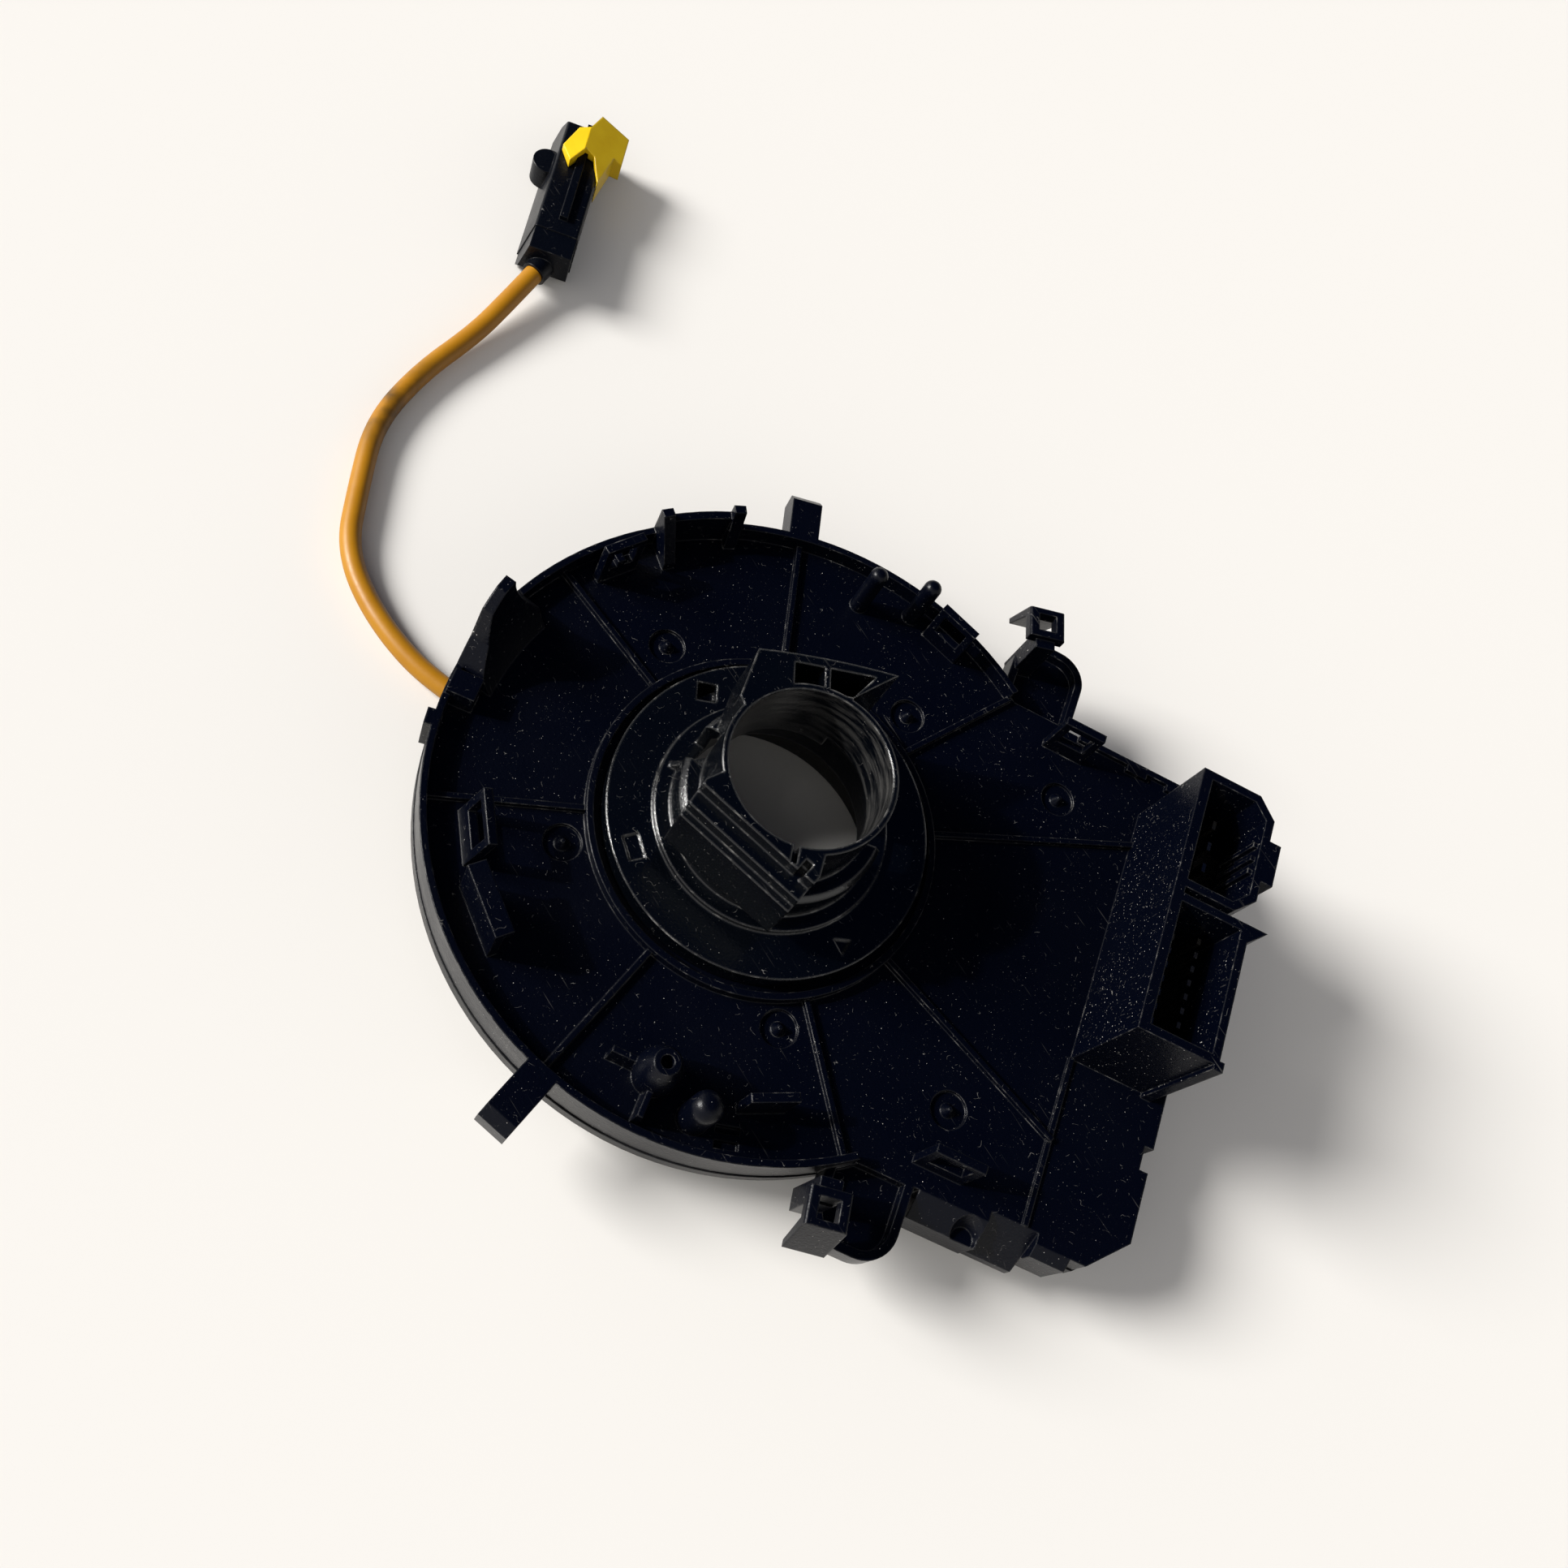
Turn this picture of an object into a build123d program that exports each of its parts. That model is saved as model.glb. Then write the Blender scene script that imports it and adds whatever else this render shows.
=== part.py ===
"""Steering clock spring: the flat cable unit that joins the wheel's wiring to the column's.

It lies on its wheel side. The origin is on the shaft axis at the surface it stands on, +Z points
out of the column side and +X points to the harness sockets. All sizes are in millimetres.
"""

from math import cos, pi, radians, sin, tan
import os

from build123d import *

# Stator shell: heights are above the surface that the rotor stands on.
case_radius = 52.0
rim_top = 18.0
rim_wall = 1.1
rim_stub_start = 54
rim_stub_end = 66
plate_recess = 3.0
plate_thickness = 2.0
skirt_bottom = 10.6
case_bottom = 5.0
case_wall = 1.3
case_floor = 1.4
lip_bottom = 7.8
lip_height = 2.5
lip_overhang = 0.2
band_inset = 1.0
running_gap = 0.1
moving_gap = 0.4

# Terminal bay, the flat tail of the case that carries the sockets.
bay_half_width = 41.5
bay_margin = 3.4
bay_corner = 6.0
bay_notch_depth = 1.5
bay_notch_width = 3.8
bay_notch_y = -22.4
bay_rim_height = 0.9
bay_rim_start = 44.0
bay_bumps = ((55.4, 3.8), (62.0, 1.6))
shoulder_bottom = 6.4
shoulder_corner = 3.2
shoulder_scoop_x = 50.6
ear_width = 13.2
upper_ear_x = 35.4
upper_ear_reach = 55.4
lower_ear_x = 33.8
lower_ear_reach = 54.4
ear_corner = 5.4
ear_wall = 1.4
ear_recess = 2.0
upper_eye_x = 30.0
upper_eye_turn = 16.0
lower_eye_x = 27.1
lower_eye_turn = 9.0
eye_inset = 2.6
eye_width = 6.3
eye_depth = 5.4
eye_hole = 3.1
eye_wall = 1.0
eye_plate = 2.0
eye_top = 24.0
eye_lip_reach = 2.2
eye_lip_bottom = 15.4
eye_stem_width = 3.4
eye_stem_depth = 3.2

# Plate details: ribs and frames are placed by azimuth about the shaft axis.
rib_width = 0.9
rib_height = 1.0
rib_start = 28.4
long_rib_reach = 11.5
collar_wall = 1.1
collar_height = 1.8
groove_width = 1.3
dimple_diameter = 5.8
dimple_depth = 0.6
dimple_pin_height = 1.4
tab_width = 5.1
upper_tab_reach = 8.3
lower_tab_reach = 9.5
tab_thickness = 5.5
tab_bevel = 1.6
frame_wall = 1.3
frame_thickness = 1.4
frame_height = 9.0
frame_sill = 3.2
peg_diameter = 3.0
peg_height = 11.0
stud_diameter = 4.8
dome_diameter = 6.8
dome_top_diameter = 3.8
dome_height = 9.6
dome_hole = 1.9
fin_length = 5.4
louvre_width = 3.6
louvre_slot = 1.1
pocket_azimuth = 125.0
pocket_half_angle = 6.8
pocket_depth = 6.2
pocket_back_height = 6.4
hook_azimuth = 170.0
hook_height = 11.0
hook_width = 16.4
hook_thickness = 1.7
hook_foot_depth = 6.4

# Harness sockets, moulded on the bay and open upward.
socket_gap = 6.1
socket_depth = 13.5
socket_front_wall = 1.8
socket_wall = 1.4
socket_top = 35.5
socket_floor = 20.0
lower_socket_start = -12.7
lower_socket_end = 10.8
upper_socket_start = 11.9
upper_socket_end = 33.0
socket_corner = 3.2
rail_depth = 2.0
rail_length = 7.4
rail_middle = 22.4
key_rib = 0.8
corner_fin_reach = 3.0
corner_flange = 1.6
blade_width = 1.0
blade_thickness = 0.6
blade_height = 9.0
blade_pitch = 2.4
blade_count = 8
blade_row_gap = 4.4
airbag_blade_width = 1.5
airbag_blade_pitch = 4.0
airbag_blade_count = 4
block_thickness = 4.3
busbar_width = 0.8
busbar_thickness = 0.6
busbar_pitch = 1.1

# Rotor, wheel side.
drum_bore_radius = 22.4
drum_wall = 1.8
rotor_inset = 4.2
rotor_rim_wall = 1.4
rotor_rim_rise = 0.8
web_underside = 3.9
web_thickness = 1.5
foot_inset = 1.8
foot_width = 3.0
front_rib_count = 16
front_rib_width = 1.2
ribbon_drum_radius = 34.2
ribbon_drum_wall = 1.2
lead_exit_azimuth = 177.0
carrier_outer_radius = 30.8
carrier_thickness = 1.6
strip_count = 3
strip_pitch = 1.8
wheel_socket_azimuth = 90.0
wheel_strip_gap = 22.0
wheel_socket_depth = 6.6
wheel_socket_width = 16.0
wheel_socket_wall = 1.0
wheel_socket_back = 1.8
wheel_socket_bottom = 0.4
wheel_socket_height = 11.0
wheel_blade_count = 6
wheel_blade_pitch = 2.2

# Hub sleeve, column side.
hub_disc_radius = 25.4
hub_top = 19.0
hub_wall = 1.6
skirt_clearance = 0.15
step_radius = 18.4
step_height = 1.0
boss_radius = 16.0
boss_top = 26.6
boss_wall = 1.6
boss_chamfer = 0.8
boss_cone_start = 23.6
tube_bore_radius = 12.2
tube_wall = 0.9
tube_top = 38.4
tube_inner_end = 27.4
sleeve_wall = 1.4
sleeve_depth = 11.0
lug_turn = 18.0
lug_wall = 1.0
lug_floor = 24.4
lug_reach = 17.2
lug_start = -8.8
lug_end = 12.8
lug_bow = 0.5
lug_root_start = -11.1
lug_root_end = 5.8
lug_pocket_start = -3.2
lug_web_place = 1.8
lug_steps = ((17.0, 4.6), (15.8, 2.4), (13.4, 0.0))
block_lug_start = -9.6
block_lug_end = 11.0
block_lug_slot = 1.2
notch_places = ((172.0, 6.0), (7.0, 5.0))
gusset_azimuth = 180.0
gusset_thickness = 0.9
disc_mark_radius = 22.1
disc_mark = 3.0
mark_depth = 0.3

# Flat cable and the sheets it slides on.
ribbon_turns = 5
ribbon_stack = 0.5
ribbon_clearance = 0.6
ribbon_bend = 3.0
sheet_thickness = 0.2

# Airbag lead and its connector, which lie on the surface beside the case.
lead_diameter = 3.5
lead_points = [
    (-41.0, 2.1, 1.8),
    (-54.5, 3.2, 1.8),
    (-67.5, 8.9, 1.8),
    (-77.6, 17.8, 1.8),
    (-81.4, 29.6, 1.8),
    (-84.9, 42.3, 1.8),
    (-83.2, 55.6, 1.8),
    (-78.9, 68.2, 2.2),
    (-77.0, 76.6, 3.2),
    (-75.4, 84.6, 4.2),
]
boot_length = 8.0
boot_width = 6.0
crimp_width = 1.4
crimp_thickness = 0.5
crimp_radius = 28.2
connector_x = -74.6
connector_y = 86.6
connector_heading = 101.0
connector_length = 34.0
connector_height = 9.0
connector_right = 4.7
connector_left = 5.3
connector_lean = 2.0
connector_wall = 1.2
connector_back = 8.0
connector_rake = 2.6
cover_length = 5.0
collar_radius = 2.3
collar_length = 2.8
catch_place = 22.6
catch_length = 5.6
contact_size = 1.9
contact_length = 16.0
contact_pitch = 3.6
lock_start = 18.8
lock_length = 14.8
lock_rise = 2.4
lock_drop = 4.6
lock_side = 3.6
lock_plan = [
    (5.1, 2.8),
    (1.6, 0.8),
    (5.4, -1.4),
    (5.0, -3.1),
    (0.0, -5.0),
    (7.8, -6.6),
    (7.6, -8.9),
    (14.4, -8.4),
    (14.8, -2.5),
    (10.6, -1.1),
    (10.0, 0.9),
]
rail_width = 1.4
rail_height = 1.0

rotor_radius = case_radius - rotor_inset
foot_outer_radius = rotor_radius - foot_inset
socket_front_x = case_radius + socket_gap
socket_end_x = socket_front_x + socket_depth
bay_end = socket_end_x + bay_margin
plate_top = rim_top - plate_recess
plate_underside = plate_top - plate_thickness
web_top = web_underside + web_thickness
lip_top = lip_bottom + lip_height
drum_radius = drum_bore_radius + drum_wall
plate_bore_radius = drum_radius + running_gap
groove_radius = hub_disc_radius + groove_width
case_inset = rim_wall + running_gap
rotor_opening_radius = rotor_radius + moving_gap
partition_radius = case_radius - case_inset


def polar(radius, azimuth):
    """Plan point at a radius and azimuth about the shaft axis."""
    return radius * cos(radians(azimuth)), radius * sin(radians(azimuth))


def level_plane(radius, azimuth, height):
    """Level plane at a polar place, its X axis pointing away from the shaft."""
    return Plane(Location((*polar(radius, azimuth), height), (0, 0, azimuth)))


def upright_plane(x, y, height, heading, lean=0):
    """Plane that faces a heading, its Y axis pointing up or leaning back by an angle."""
    face = Vector(1, 0, 0).rotate(Axis.Y, -lean).rotate(Axis.Z, heading)
    across = Vector(0, 1, 0).rotate(Axis.Z, heading)
    return Plane(origin=(x, y, height), x_dir=across, z_dir=face)


def radial_plane(azimuth, height):
    """Upright plane through the shaft axis, its X axis pointing out at an azimuth."""
    outward = Vector(1, 0, 0).rotate(Axis.Z, azimuth)
    return Plane(origin=(0, 0, height), x_dir=outward, z_dir=outward.rotate(Axis.Z, -90))


def window_frame(width, height):
    """Upright frame on its base line, with a square latch window above a sill."""
    with BuildSketch() as frame:
        Rectangle(width, height, align=(Align.CENTER, Align.MIN))
        with Locations((0, frame_sill)):
            Rectangle(
                width - 2 * frame_wall,
                height - frame_sill - frame_wall,
                align=(Align.CENTER, Align.MIN),
                mode=Mode.SUBTRACT,
            )
    return frame.sketch


def arc_band(inner, outer, start, end):
    """Flat band between two radii that runs from one azimuth to another."""
    middle = (start + end) / 2
    with BuildSketch() as band:
        with BuildLine():
            a = ThreePointArc(polar(outer, start), polar(outer, middle), polar(outer, end))
            b = ThreePointArc(polar(inner, start), polar(inner, middle), polar(inner, end))
            Line(a @ 0, b @ 0)
            Line(a @ 1, b @ 1)
        make_face()
    return band.sketch


# Plan outline of the stator: the round case joined to the terminal bay.
with BuildSketch() as case_outline:
    Circle(case_radius)
    with BuildLine():
        Polyline(
            (0, bay_half_width),
            (bay_end - bay_corner, bay_half_width),
            (bay_end, bay_half_width - bay_corner),
            (bay_end, bay_corner - bay_half_width),
            (bay_end - bay_corner, -bay_half_width),
            (0, -bay_half_width),
            close=True,
        )
    make_face()
    with Locations((bay_end, bay_notch_y)):
        Rectangle(2 * bay_notch_depth, bay_notch_width, mode=Mode.SUBTRACT)

# Plan outlines of the socket shells and of the spaces inside them.
with BuildSketch() as lower_shell:
    with BuildLine():
        Polyline(
            (socket_front_x, lower_socket_start),
            (socket_end_x, lower_socket_start),
            (socket_end_x, lower_socket_end),
            (socket_front_x, lower_socket_end),
            close=True,
        )
    make_face()
with BuildSketch() as upper_shell:
    with BuildLine():
        Polyline(
            (socket_front_x, upper_socket_start),
            (socket_end_x - socket_corner, upper_socket_start),
            (socket_end_x, upper_socket_start + socket_corner),
            (socket_end_x, upper_socket_end - socket_corner),
            (socket_end_x - socket_corner, upper_socket_end),
            (socket_front_x, upper_socket_end),
            close=True,
        )
    make_face()
with BuildSketch() as socket_spaces:
    offset(lower_shell.sketch, amount=-socket_wall)
    offset(upper_shell.sketch, amount=-socket_wall, mode=Mode.ADD)
    with Locations((socket_front_x, 0)):
        Rectangle(2 * socket_front_wall, 4 * upper_socket_end, mode=Mode.SUBTRACT)

# Blade places: the long socket has two staggered rows, the airbag socket one.
lower_middle = (lower_socket_start + lower_socket_end) / 2
upper_middle = (upper_socket_start + upper_socket_end) / 2
space_middle_x = (socket_front_x + socket_front_wall + socket_end_x - socket_wall) / 2
row_run = blade_pitch * (blade_count - 1)
lower_blades = [
    (
        space_middle_x + side * blade_row_gap / 2,
        lower_middle - row_run / 2 + blade_pitch * (step + side / 4),
    )
    for side in (-1, 1)
    for step in range(blade_count)
]
airbag_run = airbag_blade_pitch * (airbag_blade_count - 1)
airbag_blades = [
    (space_middle_x, upper_middle - airbag_run / 2 + airbag_blade_pitch * step)
    for step in range(airbag_blade_count)
]

# Eye clip, drawn about the middle of its eye with Y outward: stem, level eye and a lip that flares down.
with BuildPart() as eye_clip:
    eye_half = eye_depth / 2
    with BuildSketch(Plane.XY.offset(skirt_bottom)):
        with Locations((0, -eye_half)):
            Rectangle(eye_stem_width, eye_stem_depth)
    extrude(amount=eye_top - skirt_bottom - eye_plate / 2)
    with BuildSketch(Plane.YZ):
        with BuildLine():
            Polyline(
                (-eye_half, eye_top),
                (eye_half, eye_top),
                (eye_half + eye_lip_reach, eye_lip_bottom),
                (eye_half + eye_lip_reach - eye_wall, eye_lip_bottom),
                (eye_half - eye_wall, eye_top - eye_plate),
                (-eye_half, eye_top - eye_plate),
                close=True,
            )
        make_face()
    extrude(amount=eye_width / 2, both=True)
    fillet(eye_clip.edges().filter_by(Axis.Y).group_by(Axis.Z)[-1], eye_wall / 2)
    with BuildSketch(Plane.XY.offset(eye_top)):
        with Locations((0, eye_half - eye_wall)):
            Rectangle(eye_hole, eye_hole, align=(Align.CENTER, Align.MAX))
    extrude(amount=-2 * eye_plate, mode=Mode.SUBTRACT)

# Tall hook on the rim: a wall with a concave inner side, cut to its sloping outline.
with BuildPart() as rim_hook:
    hook_top = plate_recess + hook_height
    with BuildSketch(radial_plane(hook_azimuth - hook_width / 2, plate_top)):
        with BuildLine():
            hollow = ThreePointArc(
                (case_radius - hook_foot_depth, 0),
                (case_radius - hook_thickness - hook_foot_depth / 5, hook_top / 2),
                (case_radius - hook_thickness, hook_top),
            )
            Polyline(hollow @ 1, (case_radius, hook_top), (case_radius, 0), hollow @ 0)
        make_face()
    revolve(axis=Axis.Z, revolution_arc=1.3 * hook_width)
    with BuildSketch(upright_plane(0, 0, plate_top, hook_azimuth)):
        with BuildLine():
            flank = ThreePointArc(
                (-0.45 * hook_width, plate_recess),
                (-0.26 * hook_width, plate_recess + 0.4 * hook_height),
                (-0.14 * hook_width, hook_top),
            )
            Polyline(
                flank @ 1,
                (0, hook_top - 0.02 * hook_height),
                (0.2 * hook_width, plate_recess + 0.82 * hook_height),
                (0.31 * hook_width, plate_recess + 0.32 * hook_height),
                (0.52 * hook_width, plate_recess),
                (0.52 * hook_width, 0),
                (-0.45 * hook_width, 0),
                flank @ 0,
            )
        make_face()
    extrude(amount=2 * case_radius, mode=Mode.INTERSECT)

# Column-side moulding: plate, rim, ears, snap brackets and both socket shells in one piece.
with BuildPart() as rear_case:
    with BuildSketch(Plane.XY.offset(plate_underside)):
        add(case_outline.sketch)
        Circle(plate_bore_radius, mode=Mode.SUBTRACT)
    extrude(amount=plate_thickness)
    with BuildSketch(Plane.XY.offset(skirt_bottom)):
        add(case_outline.sketch)
        offset(case_outline.sketch, amount=-rim_wall, mode=Mode.SUBTRACT)
    extrude(amount=plate_underside - skirt_bottom)
    with BuildSketch(Plane.XY.offset(plate_top)):
        Circle(case_radius)
        Circle(case_radius - rim_wall, mode=Mode.SUBTRACT)
        with Locations((case_radius, 0)):
            Rectangle(case_radius, 4 * case_radius, mode=Mode.SUBTRACT)
        add(arc_band(case_radius - rim_wall, case_radius, rim_stub_start, rim_stub_end))
        add(arc_band(case_radius - rim_wall, case_radius, -rim_stub_end, -rim_stub_start))
    extrude(amount=plate_recess)
    with BuildSketch(Plane.XY.offset(plate_top)):
        with Locations((bay_rim_start, bay_half_width)):
            Rectangle(bay_end - bay_corner - bay_rim_start, rim_wall, align=(Align.MIN, Align.MAX))
        for bump_x, bump_width in bay_bumps:
            with Locations((bump_x, bay_half_width)):
                Rectangle(bump_width, 2 * rim_wall, align=(Align.CENTER, Align.MAX))
    extrude(amount=bay_rim_height)

    # Collar round the hub disc.
    with BuildSketch(Plane.XY.offset(plate_top)):
        Circle(groove_radius + collar_wall)
        Circle(groove_radius, mode=Mode.SUBTRACT)
    extrude(amount=collar_height)

    # Radial ribs and the seam rib across the bay.
    rim_inside = case_radius - rim_wall
    for azimuth, rib_end in (
        (24.5, case_radius + long_rib_reach),
        (-24.3, case_radius + long_rib_reach),
        (54.0, rim_inside),
        (-55.5, rim_inside),
        (104.3, rim_inside),
        (-107.6, rim_inside),
        (151.2, rim_inside),
        (-157.6, rim_inside),
    ):
        with BuildSketch(level_plane((rib_start + rib_end) / 2, azimuth, plate_top)):
            Rectangle(rib_end - rib_start + rim_wall, rib_width)
        extrude(amount=rib_height)
    with BuildSketch(Plane.XY.offset(plate_top)):
        with Locations((socket_front_x, (lower_socket_start - bay_half_width) / 2)):
            Rectangle(rib_width, bay_half_width + lower_socket_start)
    extrude(amount=rib_height / 2)

    # Ejector dimples, each with a small cone in its middle.
    dimples = ((-25.2, 21.1), (15.0, 29.7), (43.7, 28.4), (-26.5, -16.8), (13.6, -28.5), (41.9, -28.7))
    with BuildSketch(Plane.XY.offset(plate_top)):
        with Locations(*dimples):
            Circle(dimple_diameter / 2)
    extrude(amount=-dimple_depth, mode=Mode.SUBTRACT)
    with Locations(*[(x, y, plate_top - dimple_depth) for x, y in dimples]):
        Cone(
            dimple_diameter / 5,
            dimple_diameter / 20,
            dimple_pin_height,
            align=(Align.CENTER, Align.CENTER, Align.MIN),
        )

    # Tabs with a bevelled end that stand out of the rim.
    for azimuth, tab_reach in ((104.3, upper_tab_reach), (-107.4, lower_tab_reach)):
        tab_end = case_radius + tab_reach
        with BuildSketch(radial_plane(azimuth, rim_top)):
            with BuildLine():
                Polyline(
                    (rim_inside, 0),
                    (tab_end - tab_bevel, 0),
                    (tab_end, -tab_bevel),
                    (tab_end, -tab_thickness),
                    (rim_inside, -tab_thickness),
                    close=True,
                )
            make_face()
        extrude(amount=tab_width / 2, both=True)

    # Dished ears with their eye clips.
    for side, ear_x, ear_reach in ((1, upper_ear_x, upper_ear_reach), (-1, lower_ear_x, lower_ear_reach)):
        with BuildSketch(Plane.XY.offset(skirt_bottom)) as ear:
            with Locations((ear_x, side * (bay_half_width + ear_reach - rim_wall) / 2)):
                Rectangle(ear_width, ear_reach - bay_half_width + rim_wall)
            outer_corners = ear.vertices().group_by(Axis.Y)[(-1, 0)[side < 0]]
            fillet(outer_corners, ear_corner)
            offset(case_outline.sketch, amount=-rim_wall, mode=Mode.SUBTRACT)
        extrude(amount=plate_top - skirt_bottom)
        with BuildSketch(Plane.XY.offset(plate_top)):
            offset(ear.sketch, amount=-ear_wall)
        extrude(amount=-ear_recess, mode=Mode.SUBTRACT)
    with Locations(Location((upper_eye_x, upper_ear_reach - eye_inset, 0), (0, 0, upper_eye_turn))):
        add(eye_clip.part)
    with Locations(Location((lower_eye_x, eye_inset - lower_ear_reach, 0), (0, 0, lower_eye_turn))):
        add(mirror(eye_clip.part, about=Plane.XZ, mode=Mode.PRIVATE))

    # Window frames that the switch module latches into, one of them leaning inward.
    for azimuth, inset, width, lean in ((70.5, 5.0, 7.2, 0), (142.5, 5.0, 7.0, 0), (-150.0, 7.4, 8.5, 16)):
        frame_base = plate_top - frame_thickness * sin(radians(lean))
        frame_plane = upright_plane(*polar(case_radius - inset, azimuth), frame_base, azimuth, lean)
        with BuildSketch(frame_plane):
            add(window_frame(width, frame_height))
        extrude(amount=frame_thickness)
    with BuildSketch(level_plane(case_radius - 5.0 + frame_thickness, 142.5, plate_top)):
        Rectangle(2 * frame_thickness, frame_wall)
    extrude(amount=frame_height / 2)
    for inset, clearance, width in ((10.1, 5.0, 7.2), (9.0, -4.6, 8.0)):
        frame_y = bay_half_width - clearance if clearance > 0 else -bay_half_width - clearance
        with BuildSketch(upright_plane(case_radius - inset, frame_y, plate_top, 90 if frame_y > 0 else -90)):
            add(window_frame(width, frame_height))
        extrude(amount=frame_thickness)

    # Latch pocket on the rim: a low curved back wall between two posts, each with its web.
    with BuildSketch(Plane.XY.offset(plate_top)):
        pocket_start = pocket_azimuth - pocket_half_angle
        pocket_end = pocket_azimuth + pocket_half_angle
        add(arc_band(case_radius - frame_thickness, case_radius, pocket_start, pocket_end))
    extrude(amount=pocket_back_height)
    for azimuth, depth in ((pocket_end, pocket_depth), (pocket_start, pocket_depth / 2)):
        with BuildSketch(radial_plane(azimuth, plate_top)):
            with BuildLine():
                Polyline(
                    (case_radius, 0),
                    (case_radius, frame_height - frame_thickness / 2),
                    (case_radius - frame_thickness, frame_height - frame_thickness / 2),
                    (case_radius - depth, frame_thickness),
                    (case_radius - depth, 0),
                    close=True,
                )
            make_face()
        extrude(amount=frame_wall * 0.75, both=True)

    # Upright wall with a ledge, the hook, the low block beside it and a catch on the rim.
    wall_radius = case_radius - 5.8
    with BuildSketch(level_plane(wall_radius, -134.5, plate_top)):
        Rectangle(frame_thickness, 11.0)
    extrude(amount=frame_height)
    with BuildSketch(level_plane(wall_radius - frame_wall / 2, -134.5, plate_top + frame_height - frame_wall)):
        Rectangle(2 * frame_thickness, 11.0)
    extrude(amount=frame_wall)
    add(rim_hook.part)
    with BuildSketch(level_plane(case_radius - 2.6, -177, plate_top)):
        Rectangle(4.4, 4.0)
    extrude(amount=plate_recess + rib_height)
    with BuildSketch(level_plane(case_radius, -170, skirt_bottom)):
        Rectangle(2 * rim_wall, 2.6)
    extrude(amount=rim_top - skirt_bottom)

    # Round pegs and the thicker stud.
    peg_places = (polar(case_radius - 7.1, 89.4), polar(case_radius - 3.5, 78.8))
    with BuildSketch(Plane.XY.offset(plate_top)):
        with Locations(*peg_places):
            Circle(peg_diameter / 2)
    pegs = extrude(amount=peg_height)
    fillet(pegs.edges().group_by(Axis.Z)[-1], peg_diameter / 2 - rib_height / 4)
    with BuildSketch(Plane.XY.offset(plate_top)):
        with Locations(polar(case_radius - 5.6, -81.8)):
            Circle(stud_diameter / 2)
    stud = extrude(amount=peg_height - rib_height)
    fillet(stud.edges().group_by(Axis.Z)[-1], stud_diameter / 2 - rib_height / 4)

    # Dome with a blind hole and two fins, the louvre and the short bar near them.
    dome_x, dome_y = polar(case_radius - 9.0, -91.3)
    with BuildSketch(Plane(origin=(dome_x, dome_y, plate_top), x_dir=(1, 0, 0), z_dir=(0, -1, 0))):
        with BuildLine():
            bulge = ThreePointArc(
                (0.42 * dome_diameter, 0),
                (dome_diameter / 2, 0.45 * dome_height),
                (dome_top_diameter / 2, dome_height),
            )
            Polyline(bulge @ 1, (0, dome_height), (0, 0), bulge @ 0)
        make_face()
    revolve(axis=Axis((dome_x, dome_y, 0), (0, 0, 1)))
    with BuildSketch(Plane.XY.offset(plate_top + dome_height)):
        with Locations((dome_x, dome_y)):
            Circle(dome_hole / 2)
    extrude(amount=-dome_height / 3, mode=Mode.SUBTRACT)
    with BuildSketch(Plane.XY.offset(plate_top)):
        with Locations((dome_x - dome_diameter / 4, dome_y)):
            Rectangle(fin_length, rib_width, align=(Align.MAX, Align.CENTER))
        with Locations((dome_x, dome_y - dome_diameter / 4)):
            Rectangle(rib_width, fin_length, align=(Align.CENTER, Align.MAX))
    extrude(amount=dome_height / 2)
    with BuildSketch(level_plane(case_radius - 4.0, -75.3, plate_top)):
        with GridLocations(2 * louvre_slot, 0, 2, 1):
            Rectangle(louvre_slot, louvre_width)
    extrude(amount=-plate_thickness / 2, mode=Mode.SUBTRACT)
    with BuildSketch(Plane(Location((15.2, rib_height - bay_half_width, plate_top), (0, 0, 25)))):
        Rectangle(7.2, frame_thickness)
    extrude(amount=frame_height - frame_thickness)

    # Sculpted shoulder of the bay in three steps: a sloped roof, a deeper chute and a latch block.
    shoulder_y = -bay_half_width
    for start, length, inner, reach, drop in (
        (41.4, 11.4, 0.0, 3.8, 2.6),
        (52.8, 7.8, -1.6, 3.6, 6.6),
        (60.6, 5.8, 0.0, 1.8, 1.2),
    ):
        with BuildSketch(Plane.YZ.offset(start)):
            with BuildLine():
                Polyline(
                    (shoulder_y - inner, plate_top),
                    (shoulder_y - reach, plate_top - drop),
                    (shoulder_y - reach, rim_top),
                    (shoulder_y - inner, rim_top),
                    close=True,
                )
            make_face()
        extrude(amount=length, mode=Mode.SUBTRACT)
        with BuildSketch(Plane.YZ.offset(start)):
            with BuildLine():
                Polyline(
                    (shoulder_y + rim_wall, skirt_bottom),
                    (shoulder_y + rim_wall, plate_underside),
                    (shoulder_y + 2 * rim_wall, plate_underside),
                    (shoulder_y + 2 * rim_wall, plate_top),
                    (shoulder_y - inner, plate_top),
                    (shoulder_y - reach, plate_top - drop),
                    (shoulder_y - reach, shoulder_bottom),
                    (shoulder_y - reach + rim_wall, shoulder_bottom),
                    (shoulder_y - reach + rim_wall, shoulder_bottom + rim_wall),
                    (shoulder_y - lip_overhang - running_gap, skirt_bottom),
                    close=True,
                )
            make_face()
        extrude(amount=length)
    with BuildSketch(Plane.XY.offset(plate_top)):
        with Locations((shoulder_scoop_x, shoulder_y - shoulder_corner)):
            Circle(shoulder_corner)
    extrude(amount=-shoulder_corner, taper=24, mode=Mode.SUBTRACT)

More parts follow.
